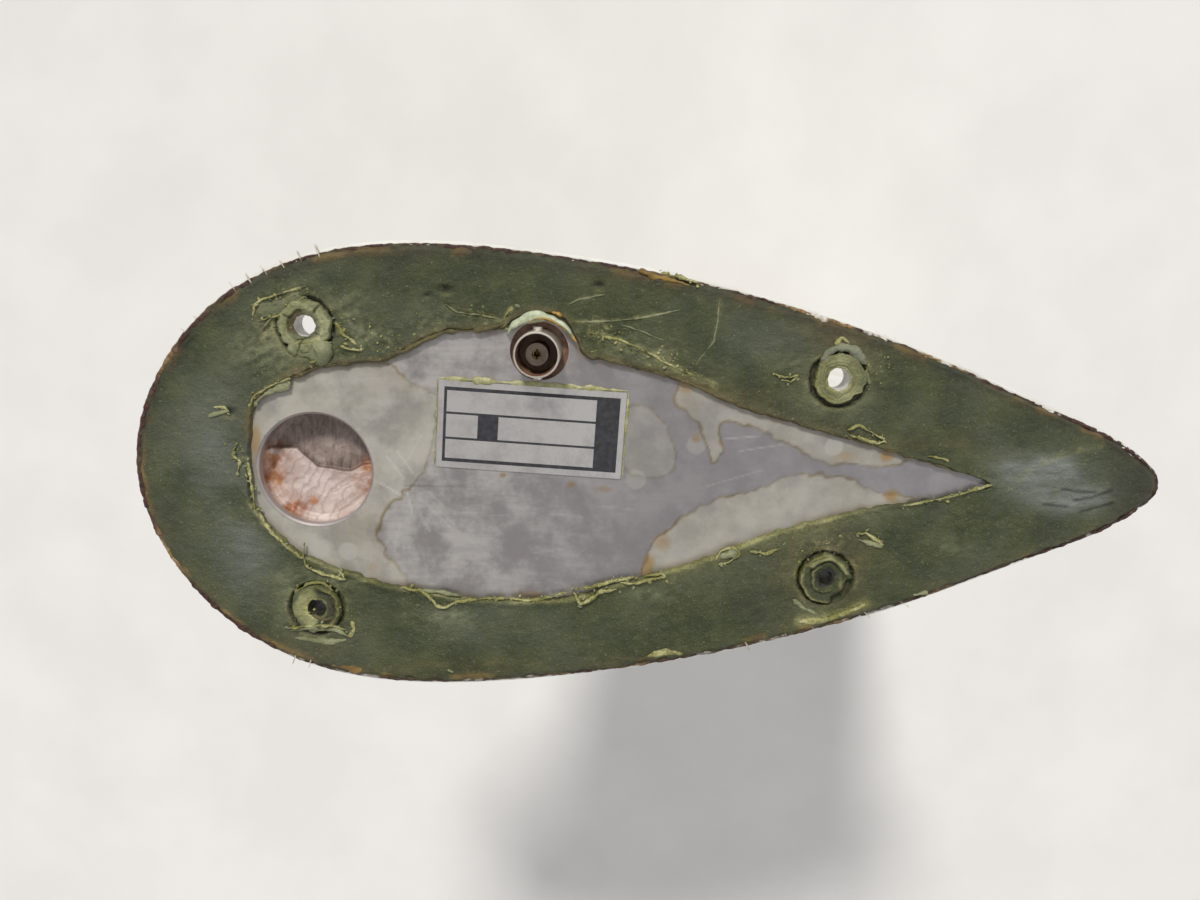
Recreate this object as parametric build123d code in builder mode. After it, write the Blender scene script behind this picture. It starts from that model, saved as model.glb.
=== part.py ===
from build123d import *
from math import sqrt
import os

os.makedirs("parts", exist_ok=True)

# Aircraft blade antenna with a teardrop base, modelled as it hangs under a belly.
# Millimetres. The origin lies on the mounting face, midway between the front and rear screws.
# +Z leaves the mounting face, the blade hangs towards -Z, +X is the nose and +Y the left side.

# Base outline
base_nose_x = 96.3
base_tail_x = -129.4
base_half_width = 50.0

# Stack heights, measured down from the mounting face
bed_thickness = 1.2
plate_thickness = 2.5
rim_width = 1.6
tail_rim_width = 4.8
rim_chamfer = 0.6
flange_depth = 6.6
plate_top_z = -bed_thickness
plate_under_z = plate_top_z - plate_thickness
rim_side_z = plate_top_z - rim_chamfer

# Screw holes
screws = [
    ("front_right", 57.15, -31.75, 20),
    ("front_left", 57.15, 31.75, 255),
    ("rear_right", -57.15, -22.3, 120),
    ("rear_left", -57.15, 22.3, 310),
]
screw_bore_radius = 2.5
bushing_radius = 3.5
bushing_head_radius = 5.6
bushing_head_depth = 2.4
bushing_length = 8.6
countersink_radius = 4.8
spot_face_radius = 6.6
collar_radius = 5.8
collar_height = 0.7
collar_gap = 0.9
collar_bevel = 0.6
tear_width = 2.6
tear_depth = 1.1

# Port in the base plate
port_x = 56.6
port_radius = 12.5
port_chamfer = 0.4
filler_radius = 13.6
filler_depth = 10.0
dish_radius = 12.3
dish_floor_z = -6.4
dish_step = 1.3

# Bayonet jack
jack_x = 7.2
jack_y = -27.1
jack_front_z = 8.0
jack_radius = 4.83
jack_bore_radius = 4.15
jack_bore_depth = 8.6
jack_hole_radius = 6.35
jack_flange_size = 17.4
jack_flange_thickness = 1.6
jack_rear_z = -9.0
jack_rear_radius = 4.0
jack_screw_pitch = 12.7
jack_sealant_radius = 8.0
jack_sealant_top_z = 0.5
jack_screw_radius = 1.1
jack_screw_head_radius = 1.9
jack_screw_head_height = 1.3
jack_screw_head_chamfer = 0.4
jack_screw_slot_depth = 0.65
jack_screw_grip = 1.7
jack_flange_corner = 1.2
jack_rim_chamfer = 0.2
jack_sealant_start = -165.0
jack_sealant_sweep = 135.0
slot_width = 0.6
lug_radius = 1.0
lug_reach = 5.48
lug_z = 3.6
insulator_radius = 2.35
insulator_front_z = 6.4
contact_radius = 1.1
contact_front_z = 5.8
contact_bore_radius = 0.68
contact_bore_depth = 5.0
contact_slot_width = 0.3
contact_rear_z = -11.4
jack_clearance = 0.4

# Placard
placard_x = 9.0
placard_y = -9.9
placard_length = 40.7
placard_width = 19.2
placard_angle = -3.0
placard_thickness = 0.3
placard_corner = 0.4
bead_width = 0.9
bead_thickness = 0.5

# Matching network behind the plate
card_x = 5.0
card_length = 50.0
card_width = 22.0
card_thickness = 1.6
card_top_z = -11.0
card_corner = 1.5
post_radius = 2.5
post_spacing = 40.0
post_y = -6.0
spigot_radius = 1.6
spigot_height = 1.5
post_screw_radius = 1.25
post_screw_head_radius = 2.4
post_screw_head_height = 1.7
post_screw_head_chamfer = 0.5
post_screw_slot_depth = 0.8
post_screw_grip = 4.0
lead_radius = 0.6
lead_bend_radius = 1.2
lead_end_y = -7.0
coil_x = 15.0
former_radius = 4.0
former_height = 9.0
former_bore_radius = 1.6
coil_wire_size = 1.0
coil_pitch = 1.6
coil_turns = 4
trimmer_x = -4.0
trimmer_y = 4.5
trimmer_radius = 3.6
trimmer_height = 3.2
trimmer_rotor_radius = 1.9
trimmer_rotor_height = 1.2
trimmer_slot_depth = 0.6
bay_length = 60.0
bay_half_width = 12.8
bay_depth = 23.0
bay_corner_radius = 4.0

# Radiator inside the blade
radiator_half_thickness = 0.5
radiator_corner_radius = 3.0
strap_x = -13.0
strap_width = 7.0
strap_thickness = 0.8
strap_foot = 6.0
strap_end_z = -48.0
rivet_radius = 1.4
rivet_head_radius = 2.4
rivet_head_height = 0.8
rivet_levels = [("upper", -38.0), ("lower", -44.5)]

# Teardrop profile: fraction of the length behind the nose, fraction of the largest half width
teardrop = [
    (0.030, 0.444),
    (0.090, 0.746),
    (0.170, 0.931),
    (0.285, 1.000),
    (0.409, 0.960),
    (0.533, 0.871),
    (0.657, 0.732),
    (0.781, 0.542),
    (0.892, 0.330),
    (0.955, 0.202),
]
tail_fraction = 0.1

# Radome outside and inside: height, nose, tail and half width of each level
rim_levels = [
    (plate_top_z, base_nose_x - rim_chamfer, base_tail_x + rim_chamfer, base_half_width - rim_chamfer),
    (rim_side_z, base_nose_x, base_tail_x, base_half_width),
]
flare_levels = [
    (-flange_depth, base_nose_x, base_tail_x, base_half_width),
    (-9.0, 87.3, -119.5, 40.6),
    (-12.0, 81.5, -116.0, 34.0),
    (-16.0, 76.0, -113.8, 28.5),
    (-21.0, 70.8, -112.4, 24.4),
    (-27.0, 66.0, -111.7, 21.6),
    (-34.0, 61.2, -111.3, 19.4),
    (-42.0, 56.4, -111.1, 18.0),
    (-50.0, 52.0, -111.0, 17.2),
]
blade_levels = [
    (-50.0, 52.0, -111.0, 17.2),
    (-225.0, -40.0, -121.0, 8.0),
]
tip_levels = [
    (-225.0, -40.0, -121.0, 8.0),
    (-230.0, -43.6, -120.4, 6.9),
    (-233.5, -48.2, -118.6, 4.9),
    (-235.0, -53.5, -115.5, 2.2),
]
hollow_root_levels = [
    (plate_under_z, 76.0, -96.0, 20.5),
    (-12.0, 71.0, -97.2, 20.2),
    (-21.0, 66.0, -98.1, 19.2),
    (-30.0, 60.8, -98.6, 17.6),
    (-40.0, 54.6, -98.9, 16.0),
    (-50.0, 48.8, -99.2, 14.8),
]
hollow_blade_levels = [
    (-50.0, 48.8, -99.2, 14.8),
    (-222.0, -40.6, -110.0, 6.0),
]

# Radiator outline in the blade's plane: distance along the length, height
radiator_outline = [
    (-26.0, -34.0),
    (0.0, -34.0),
    (32.0, -64.0),
    (-44.0, -214.0),
    (-98.0, -214.0),
    (-88.0, -64.0),
]

# Step across the port filler, from its nose side to its tail side, measured from the port's centre
filler_step = [
    (13.0, -1.5),
    (4.1, -2.4),
    (-3.5, 1.5),
    (-13.0, 1.2),
]

# Inner edge of the sealant bed, as it was torn: right half, then left half, nose to tail
bed_right_edge = [
    (70.9, 0.5),
    (69.4, -12.2),
    (60.8, -20.0),
    (46.7, -24.8),
    (36.9, -29.7),
    (21.9, -30.8),
    (8.0, -30.0),
    (-7.4, -25.1),
    (-25.3, -20.5),
    (-40.7, -14.3),
    (-64.9, -7.9),
    (-91.8, 0.5),
]
bed_left_edge = [
    (70.9, 0.5),
    (67.8, 11.4),
    (60.4, 18.8),
    (49.4, 23.1),
    (33.7, 27.0),
    (22.5, 28.7),
    (9.0, 28.9),
    (-9.0, 25.0),
    (-20.1, 21.9),
    (-42.0, 13.1),
    (-63.7, 6.5),
    (-91.8, 0.5),
]


# Sizes that follow from the ones above
plate_nose_x = base_nose_x - rim_width
plate_tail_x = base_tail_x + tail_rim_width
plate_half_width = base_half_width - rim_width
bed_nose_x = base_nose_x - rim_width / 2
bed_tail_x = base_tail_x + rim_width
bed_half_width = base_half_width - rim_width / 2
bed_hole_radius = collar_radius + collar_gap
spot_face_reach = 42.0
jack_recess_size = jack_flange_size + 2 * jack_clearance
jack_recess_depth = jack_flange_thickness + jack_screw_head_height + jack_clearance
jack_flange_under_z = plate_under_z - jack_flange_thickness
step_points = [(port_x + x, y) for x, y in filler_step]
channel_width = 4 * (contact_radius + jack_clearance)
channel_depth = plate_under_z - contact_rear_z + jack_clearance
card_under_z = card_top_z - card_thickness
coil_start_z = card_under_z - coil_wire_size
lead_z = card_top_z + lead_bend_radius
coil_radius = former_radius + coil_wire_size / 2
post_height = plate_under_z - card_top_z
strap_y = radiator_half_thickness
rivet_grip = 2 * radiator_half_thickness + strap_thickness

up = (Align.CENTER, Align.CENTER, Align.MIN)
down = (Align.CENTER, Align.CENTER, Align.MAX)
beside = (Align.CENTER, Align.MIN, Align.MAX)


def teardrop_face(level_z, nose_x, tail_x, half_width):
    """Flat teardrop with a round tail at the given height."""
    length = nose_x - tail_x
    tail_radius = tail_fraction * half_width
    tail_y = tail_radius * sqrt(0.5)
    left = [(nose_x - s * length, w * half_width) for s, w in teardrop]
    left.append((tail_x + tail_radius - tail_y, tail_y))
    right = [(x, -y) for x, y in left]
    with BuildSketch(Plane.XY.offset(level_z)) as outline:
        with BuildLine():
            Spline(*reversed(left), (nose_x, 0), *right)
            ThreePointArc(right[-1], (tail_x, 0), left[-1])
        make_face()
    return outline.sketch.face()


def teardrop_faces(levels):
    """Teardrops at several heights, ready for a loft."""
    return [teardrop_face(*level) for level in levels]


# Radome: rim and flange, flared root, blade and rounded tip in one moulding
with BuildPart() as radome_shell:
    rim_faces = teardrop_faces(rim_levels)
    loft(rim_faces)
    extrude(rim_faces[-1], amount=-flange_depth - rim_side_z)
    loft(teardrop_faces(flare_levels))
    loft(teardrop_faces(blade_levels))
    loft(teardrop_faces(tip_levels))

    # Rebate for the base plate and hollow for the foam
    plate_outline = teardrop_face(plate_under_z, plate_nose_x, plate_tail_x, plate_half_width)
    extrude(plate_outline, amount=plate_thickness, mode=Mode.SUBTRACT)
    loft(teardrop_faces(hollow_root_levels), mode=Mode.SUBTRACT)
    loft(teardrop_faces(hollow_blade_levels), mode=Mode.SUBTRACT)

    # Recess for the jack's flange, and channel for its back and the lead
    with BuildSketch(Plane.XY.offset(plate_under_z)):
        with Locations((jack_x, jack_y)):
            Rectangle(jack_recess_size, jack_recess_size)
    extrude(amount=-jack_recess_depth, mode=Mode.SUBTRACT)
    with BuildSketch(Plane.XY.offset(plate_under_z)):
        with Locations((jack_x, jack_y)):
            Circle(jack_rear_radius + jack_clearance)
        with Locations((jack_x, jack_y / 2)):
            Rectangle(channel_width, -jack_y)
    extrude(amount=-channel_depth, mode=Mode.SUBTRACT)

    # Spot faces, head seats and holes for the screw bushings
    for _, screw_x, screw_y, _ in screws:
        with Locations((screw_x, screw_y, -bushing_length)):
            Cylinder(spot_face_radius, spot_face_reach, align=down, mode=Mode.SUBTRACT)
            Cylinder(bushing_head_radius, bushing_head_depth, align=up, mode=Mode.SUBTRACT)
            Cylinder(bushing_radius, bushing_length, align=up, mode=Mode.SUBTRACT)
radome_shell.part.label = "radome_shell"
export_step(radome_shell.part, "parts/radome_shell.step")

# Base plate with its port, jack hole, screw holes and blind holes underneath
with BuildPart() as base_plate:
    extrude(plate_outline, amount=plate_thickness)
    with BuildSketch(Plane.XY.offset(plate_under_z)):
        with Locations((jack_x, jack_y)):
            Circle(jack_hole_radius)
        with Locations([(screw_x, screw_y) for _, screw_x, screw_y, _ in screws]):
            Circle(bushing_radius)
        with Locations((port_x, 0)):
            Circle(port_radius)
    extrude(amount=plate_thickness, mode=Mode.SUBTRACT)
    port_edges = base_plate.edges().filter_by(GeomType.CIRCLE).group_by(SortBy.RADIUS)[-1]
    chamfer(port_edges.sort_by(Axis.Z)[-1], port_chamfer)
    with Locations((jack_x, jack_y, plate_under_z)):
        with GridLocations(jack_screw_pitch, jack_screw_pitch, 2, 2):
            Cylinder(jack_screw_radius, jack_screw_grip, align=up, mode=Mode.SUBTRACT)
    with Locations((card_x, post_y, plate_under_z)):
        with GridLocations(post_spacing, 1, 2, 1):
            Cylinder(spigot_radius, spigot_height, align=up, mode=Mode.SUBTRACT)
base_plate.part.label = "base_plate"
export_step(base_plate.part, "parts/base_plate.step")

# Bed of dried sealant, torn away over the middle of the plate
with BuildPart() as sealant_bed:
    extrude(teardrop_face(0, bed_nose_x, bed_tail_x, bed_half_width), amount=-bed_thickness)
    with BuildSketch(Plane.XY):
        with BuildLine():
            Spline(*reversed(bed_left_edge), *bed_right_edge[1:])
        make_face()
        with Locations((jack_x, jack_y)):
            Circle(jack_sealant_radius)
        with Locations([(screw_x, screw_y) for _, screw_x, screw_y, _ in screws]):
            Circle(bed_hole_radius)
    extrude(amount=-bed_thickness, mode=Mode.SUBTRACT)
sealant_bed.part.label = "sealant_bed"
export_step(sealant_bed.part, "parts/sealant_bed.step")

# Screw bushings, each with a countersunk head on the radome side and a torn collar of sealant
for screw_name, screw_x, screw_y, tear_angle in screws:
    screw_plane = Plane(origin=(screw_x, screw_y, 0), x_dir=(1, 0, 0), z_dir=(0, -1, 0))
    with BuildPart() as screw_bushing:
        with BuildSketch(screw_plane):
            with BuildLine():
                Polyline(
                    (screw_bore_radius, 0),
                    (bushing_radius, 0),
                    (bushing_radius, bushing_head_depth - bushing_length),
                    (bushing_head_radius, bushing_head_depth - bushing_length),
                    (bushing_head_radius, -bushing_length),
                    (countersink_radius, -bushing_length),
                    (screw_bore_radius, countersink_radius - screw_bore_radius - bushing_length),
                    close=True,
                )
            make_face()
        revolve(axis=Axis((screw_x, screw_y, 0), (0, 0, 1)))
    screw_bushing.part.label = f"screw_bushing_{screw_name}"
    export_step(screw_bushing.part, f"parts/screw_bushing_{screw_name}.step")

    with BuildPart() as sealant_collar:
        with BuildSketch(screw_plane):
            with BuildLine():
                Polyline(
                    (bushing_radius, plate_top_z),
                    (collar_radius, plate_top_z),
                    (collar_radius, collar_height - collar_bevel),
                    (collar_radius - collar_bevel, collar_height),
                    (bushing_radius + collar_bevel, collar_height),
                    (bushing_radius, 0),
                    close=True,
                )
            make_face()
        revolve(axis=Axis((screw_x, screw_y, 0), (0, 0, 1)))
        with BuildSketch(Plane.XY.offset(collar_height)):
            with Locations(Location((screw_x, screw_y, 0), (0, 0, tear_angle))):
                Rectangle(2 * collar_radius, tear_width, align=(Align.MIN, Align.CENTER))
        extrude(amount=-tear_depth, mode=Mode.SUBTRACT)
    sealant_collar.part.label = f"sealant_collar_{screw_name}"
    export_step(sealant_collar.part, f"parts/sealant_collar_{screw_name}.step")

# Resin filler seen through the port, dished, with a step across its floor
with BuildPart() as port_filler:
    with Locations((port_x, 0, plate_under_z)):
        Cylinder(filler_radius, filler_depth, align=down)
    with Locations((port_x, 0, dish_floor_z)):
        Cylinder(dish_radius, plate_under_z - dish_floor_z, align=up, mode=Mode.SUBTRACT)
    with BuildSketch(Plane.XY.offset(dish_floor_z)):
        with BuildLine():
            Spline(*step_points)
            Polyline(step_points[-1], (port_x - dish_radius, -2 * dish_radius), step_points[0])
        make_face()
        with Locations((port_x, 0)):
            Circle(dish_radius, mode=Mode.INTERSECT)
    extrude(amount=-dish_step, mode=Mode.SUBTRACT)
    loft(teardrop_faces(hollow_root_levels), mode=Mode.INTERSECT)
port_filler.part.label = "port_filler"
export_step(port_filler.part, "parts/port_filler.step")

# Bayonet jack: shell with its square flange and two lugs
with BuildPart() as jack_shell:
    with Locations((jack_x, jack_y, jack_flange_under_z)):
        Box(jack_flange_size, jack_flange_size, jack_flange_thickness, align=up)
    fillet(jack_shell.edges().filter_by(Axis.Z), jack_flange_corner)
    with Locations((jack_x, jack_y, jack_rear_z)):
        Cylinder(jack_rear_radius, jack_flange_under_z - jack_rear_z, align=up)
    with Locations((jack_x, jack_y, plate_under_z)):
        Cylinder(jack_radius, jack_front_z - plate_under_z, align=up)
    chamfer(jack_shell.edges().sort_by(Axis.Z)[-1], jack_rim_chamfer)
    with Locations(Location((jack_x, jack_y, lug_z), (90, 0, 0))):
        Cylinder(lug_radius, 2 * lug_reach)
    with Locations((jack_x, jack_y, jack_front_z)):
        Cylinder(jack_bore_radius, jack_bore_depth, align=down, mode=Mode.SUBTRACT)
    with Locations((jack_x, jack_y, jack_rear_z)):
        Cylinder(insulator_radius, jack_front_z - jack_rear_z, align=up, mode=Mode.SUBTRACT)
    with Locations((jack_x, jack_y, jack_flange_under_z)):
        with GridLocations(jack_screw_pitch, jack_screw_pitch, 2, 2):
            Cylinder(jack_screw_radius, jack_flange_thickness, align=up, mode=Mode.SUBTRACT)
jack_shell.part.label = "jack_shell"
export_step(jack_shell.part, "parts/jack_shell.step")

# Jack insulator
with BuildPart() as jack_insulator:
    with Locations((jack_x, jack_y, jack_rear_z)):
        Cylinder(insulator_radius, insulator_front_z - jack_rear_z, align=up)
        Cylinder(contact_radius, insulator_front_z - jack_rear_z, align=up, mode=Mode.SUBTRACT)
jack_insulator.part.label = "jack_insulator"
export_step(jack_insulator.part, "parts/jack_insulator.step")

# Jack contact, a slotted socket in front and a cross-drilled pin behind
with BuildPart() as jack_contact:
    with Locations((jack_x, jack_y, contact_rear_z)):
        Cylinder(contact_radius, contact_front_z - contact_rear_z, align=up)
    with Locations((jack_x, jack_y, contact_front_z)):
        Cylinder(contact_bore_radius, contact_bore_depth, align=down, mode=Mode.SUBTRACT)
        Box(contact_slot_width, 2 * contact_radius, contact_bore_depth, align=down, mode=Mode.SUBTRACT)
    with Locations(Location((jack_x, jack_y, lead_z), (90, 0, 0))):
        Cylinder(lead_radius, 2 * contact_radius, mode=Mode.SUBTRACT)
jack_contact.part.label = "jack_contact"
export_step(jack_contact.part, "parts/jack_contact.step")

# Screws that hold the jack's flange to the plate
jack_screw_places = [("front", -1, 1), ("front", 1, 1), ("rear", -1, -1), ("rear", 1, -1)]
for end_name, side, end in jack_screw_places:
    side_name = "left" if side > 0 else "right"
    jack_screw_x = jack_x + end * jack_screw_pitch / 2
    jack_screw_y = jack_y + side * jack_screw_pitch / 2
    screw_place = (jack_screw_x, jack_screw_y, jack_flange_under_z)
    with BuildPart() as jack_screw:
        with Locations(screw_place):
            Cylinder(jack_screw_head_radius, jack_screw_head_height, align=down)
        chamfer(jack_screw.edges().sort_by(Axis.Z)[0], jack_screw_head_chamfer)
        with Locations(screw_place):
            Cylinder(jack_screw_radius, jack_flange_thickness + jack_screw_grip, align=up)
        with Locations((jack_screw_x, jack_screw_y, jack_flange_under_z - jack_screw_head_height)):
            Box(2 * jack_screw_head_radius, slot_width, jack_screw_slot_depth, align=up, mode=Mode.SUBTRACT)
    jack_screw.part.label = f"jack_screw_{end_name}_{side_name}"
    export_step(jack_screw.part, f"parts/jack_screw_{end_name}_{side_name}.step")

# Crescent of pale sealant round the jack hole
with BuildPart() as jack_sealant:
    with BuildSketch(Plane.XY.offset(plate_top_z)):
        with BuildLine():
            outer = CenterArc((jack_x, jack_y), jack_sealant_radius, jack_sealant_start, jack_sealant_sweep)
            inner = CenterArc((jack_x, jack_y), jack_hole_radius, jack_sealant_start, jack_sealant_sweep)
            Line(outer @ 0, inner @ 0)
            Line(outer @ 1, inner @ 1)
        make_face()
    extrude(amount=jack_sealant_top_z - plate_top_z)
jack_sealant.part.label = "jack_sealant"
export_step(jack_sealant.part, "parts/jack_sealant.step")

# Placard of thin foil, and the bead of sealant squeezed out along two of its edges
placard_place = Location((placard_x, placard_y, 0), (0, 0, placard_angle))
with BuildPart() as placard:
    with BuildSketch(Plane.XY.offset(plate_top_z)):
        with Locations(placard_place):
            RectangleRounded(placard_length, placard_width, placard_corner)
    extrude(amount=placard_thickness)
placard.part.label = "placard"
export_step(placard.part, "parts/placard.step")

with BuildPart() as placard_bead:
    with BuildSketch(Plane.XY.offset(plate_top_z)):
        with Locations(placard_place * Pos(-bead_width / 2, -bead_width / 2)):
            RectangleRounded(placard_length + bead_width, placard_width + bead_width, placard_corner)
        with Locations(placard_place):
            RectangleRounded(placard_length, placard_width, placard_corner, mode=Mode.SUBTRACT)
    extrude(amount=bead_thickness)
placard_bead.part.label = "placard_bead"
export_step(placard_bead.part, "parts/placard_bead.step")

# Coil under the card, with its upper end soldered into it
with BuildPart() as matching_coil:
    with BuildLine() as coil_path:
        coil_top = (coil_x, 0, coil_start_z)
        Helix(coil_pitch, coil_turns * coil_pitch, coil_radius, center=coil_top, direction=(0, 0, -1))
    coil_start = coil_path.line @ 0
    with BuildSketch(Plane(origin=coil_start, x_dir=(1, 0, 0), z_dir=coil_path.line % 0)):
        Rectangle(coil_wire_size, coil_wire_size)
    sweep(is_frenet=True)
    with Locations(coil_start):
        Cylinder(coil_wire_size / 2, card_top_z - coil_start_z, align=up)
matching_coil.part.label = "matching_coil"
export_step(matching_coil.part, "parts/matching_coil.step")

# Matching card on two posts under the plate
post_places = [("front", card_x + post_spacing / 2), ("rear", card_x - post_spacing / 2)]
with BuildPart() as matching_card:
    with BuildSketch(Plane.XY.offset(card_under_z)):
        with Locations((card_x, 0)):
            RectangleRounded(card_length, card_width, card_corner)
        with Locations([(post_x, post_y) for _, post_x in post_places]):
            Circle(post_screw_radius, mode=Mode.SUBTRACT)
        with Locations((jack_x, lead_end_y)):
            Circle(lead_radius, mode=Mode.SUBTRACT)
        with Locations((coil_start.X, coil_start.Y)):
            Circle(coil_wire_size / 2, mode=Mode.SUBTRACT)
    extrude(amount=card_thickness)
matching_card.part.label = "matching_card"
export_step(matching_card.part, "parts/matching_card.step")

for post_name, post_x in post_places:
    with BuildPart() as card_post:
        with Locations((post_x, post_y, card_top_z)):
            Cylinder(post_radius, post_height, align=up)
            Cylinder(spigot_radius, post_height + spigot_height, align=up)
            Cylinder(post_screw_radius, post_screw_grip, align=up, mode=Mode.SUBTRACT)
    card_post.part.label = f"card_post_{post_name}"
    export_step(card_post.part, f"parts/card_post_{post_name}.step")

    with BuildPart() as card_screw:
        with Locations((post_x, post_y, card_under_z)):
            Cylinder(post_screw_head_radius, post_screw_head_height, align=down)
        chamfer(card_screw.edges().sort_by(Axis.Z)[0], post_screw_head_chamfer)
        with Locations((post_x, post_y, card_under_z)):
            Cylinder(post_screw_radius, card_thickness + post_screw_grip, align=up)
        with Locations((post_x, post_y, card_under_z - post_screw_head_height)):
            Box(2 * post_screw_head_radius, slot_width, post_screw_slot_depth, align=up, mode=Mode.SUBTRACT)
    card_screw.part.label = f"card_screw_{post_name}"
    export_step(card_screw.part, f"parts/card_screw_{post_name}.step")

# Lead from the jack's contact into the card
with BuildPart() as jack_lead:
    with BuildLine() as lead_path:
        FilletPolyline(
            (jack_x, jack_y - jack_rear_radius / 2, lead_z),
            (jack_x, lead_end_y, lead_z),
            (jack_x, lead_end_y, card_under_z - lead_radius),
            radius=lead_bend_radius,
        )
    with BuildSketch(Plane(origin=lead_path.line @ 0, z_dir=lead_path.line % 0)):
        Circle(lead_radius)
    sweep()
jack_lead.part.label = "jack_lead"
export_step(jack_lead.part, "parts/jack_lead.step")

# Former inside the coil
with BuildPart() as coil_former:
    with Locations((coil_x, 0, card_under_z)):
        Cylinder(former_radius, former_height, align=down)
        Cylinder(former_bore_radius, former_height, align=down, mode=Mode.SUBTRACT)
coil_former.part.label = "coil_former"
export_step(coil_former.part, "parts/coil_former.step")

# Trimmer capacitor: ceramic body and brass rotor
with BuildPart() as trimmer_body:
    with Locations((trimmer_x, trimmer_y, card_under_z)):
        Cylinder(trimmer_radius, trimmer_height, align=down)
trimmer_body.part.label = "trimmer_body"
export_step(trimmer_body.part, "parts/trimmer_body.step")

trimmer_top_z = card_under_z - trimmer_height
with BuildPart() as trimmer_rotor:
    with Locations((trimmer_x, trimmer_y, trimmer_top_z)):
        Cylinder(trimmer_rotor_radius, trimmer_rotor_height, align=down)
    with Locations((trimmer_x, trimmer_y, trimmer_top_z - trimmer_rotor_height)):
        Box(2 * trimmer_rotor_radius, slot_width, trimmer_slot_depth, align=up, mode=Mode.SUBTRACT)
trimmer_rotor.part.label = "trimmer_rotor"
export_step(trimmer_rotor.part, "parts/trimmer_rotor.step")

# Radiator sheet in the blade's plane
with BuildPart() as radiator:
    with BuildSketch(Plane.XZ) as radiator_face:
        with BuildLine():
            Polyline(*radiator_outline, close=True)
        make_face()
        fillet(radiator_face.vertices(), radiator_corner_radius)
    extrude(amount=radiator_half_thickness, both=True)
    with Locations([Location((strap_x, 0, rivet_z), (90, 0, 0)) for _, rivet_z in rivet_levels]):
        Cylinder(rivet_radius, 2 * radiator_half_thickness, mode=Mode.SUBTRACT)
radiator.part.label = "radiator"
export_step(radiator.part, "parts/radiator.step")

# Feed strap: foot under the card, leg riveted to the radiator
with BuildPart() as feed_strap:
    with Locations((strap_x, strap_y, card_under_z)):
        Box(strap_width, strap_foot, strap_thickness, align=beside)
        Box(strap_width, strap_thickness, card_under_z - strap_end_z, align=beside)
    with Locations([Location((strap_x, strap_y, rivet_z), (90, 0, 0)) for _, rivet_z in rivet_levels]):
        Cylinder(rivet_radius, 2 * strap_thickness, mode=Mode.SUBTRACT)
feed_strap.part.label = "feed_strap"
export_step(feed_strap.part, "parts/feed_strap.step")

# Rivets through the strap and the radiator
feed_rivets = []
for rivet_name, rivet_z in rivet_levels:
    with BuildPart() as feed_rivet:
        with Locations(Location((strap_x, strap_y + strap_thickness, rivet_z), (90, 0, 0))):
            Cylinder(rivet_radius, rivet_grip, align=up)
            Cylinder(rivet_head_radius, rivet_head_height, align=down)
        with Locations(Location((strap_x, -radiator_half_thickness, rivet_z), (90, 0, 0))):
            Cylinder(rivet_head_radius, rivet_head_height, align=up)
    feed_rivet.part.label = f"feed_rivet_{rivet_name}"
    export_step(feed_rivet.part, f"parts/feed_rivet_{rivet_name}.step")
    feed_rivets.append(feed_rivet.part)

# Foam core, moulded round the radiator and left open over the matching card
with BuildPart() as foam_core:
    loft(teardrop_faces(hollow_root_levels))
    loft(teardrop_faces(hollow_blade_levels))
    with BuildSketch(Plane.XY.offset(plate_under_z)):
        with Locations((card_x, 0)):
            RectangleRounded(bay_length, 2 * bay_half_width, bay_corner_radius)
        with Locations((jack_x, jack_y / 2)):
            Rectangle(channel_width, -jack_y)
    extrude(amount=-bay_depth, mode=Mode.SUBTRACT)
    with Locations((jack_x, jack_y, plate_under_z)):
        Box(jack_recess_size, jack_recess_size, jack_recess_depth, align=down, mode=Mode.SUBTRACT)
    with Locations((port_x, 0, plate_under_z)):
        Cylinder(filler_radius, filler_depth, align=down, mode=Mode.SUBTRACT)
    for _, screw_x, screw_y, _ in screws:
        with Locations((screw_x, screw_y, 0)):
            Cylinder(spot_face_radius, spot_face_reach, align=down, mode=Mode.SUBTRACT)
    add([radiator.part, feed_strap.part, *feed_rivets], mode=Mode.SUBTRACT)
foam_core.part.label = "foam_core"
export_step(foam_core.part, "parts/foam_core.step")
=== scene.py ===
import math

import bpy
import numpy as np
from mathutils import Matrix, Vector


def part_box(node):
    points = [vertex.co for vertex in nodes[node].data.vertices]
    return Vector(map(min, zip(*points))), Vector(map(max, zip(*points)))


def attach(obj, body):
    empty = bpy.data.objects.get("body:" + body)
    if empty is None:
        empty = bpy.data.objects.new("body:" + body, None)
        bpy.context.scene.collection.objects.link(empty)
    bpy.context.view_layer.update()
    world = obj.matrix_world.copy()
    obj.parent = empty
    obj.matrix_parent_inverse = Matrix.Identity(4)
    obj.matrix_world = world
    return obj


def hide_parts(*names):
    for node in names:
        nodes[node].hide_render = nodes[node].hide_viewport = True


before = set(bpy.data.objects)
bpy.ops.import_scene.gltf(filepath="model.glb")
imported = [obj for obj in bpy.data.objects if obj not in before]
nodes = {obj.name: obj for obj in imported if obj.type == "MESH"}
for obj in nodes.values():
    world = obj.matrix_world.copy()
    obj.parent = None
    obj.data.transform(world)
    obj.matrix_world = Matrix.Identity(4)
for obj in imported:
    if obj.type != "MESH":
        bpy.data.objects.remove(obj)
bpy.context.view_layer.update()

MM = 0.001
TWO_PI = 2 * math.pi
# Levels and ends of the part that the CAD doesn't hand over by name, in millimetres
PLATE_TOP = -1.2
RIM_FOOT = -6.6
NOSE_X, TAIL_X = 96.3, -129.4
BUSHING_RADIUS, BORE_RADIUS = 3.52, 2.48


# Numbers and outlines, all in millimetres


def read_table(text):
    """A table written as text, one row to a line: words stay words and the rest become numbers."""
    rows = [line.split() for line in text.strip().splitlines()]
    return [[word if word.isalpha() else float(word) for word in row] for row in rows]


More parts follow.
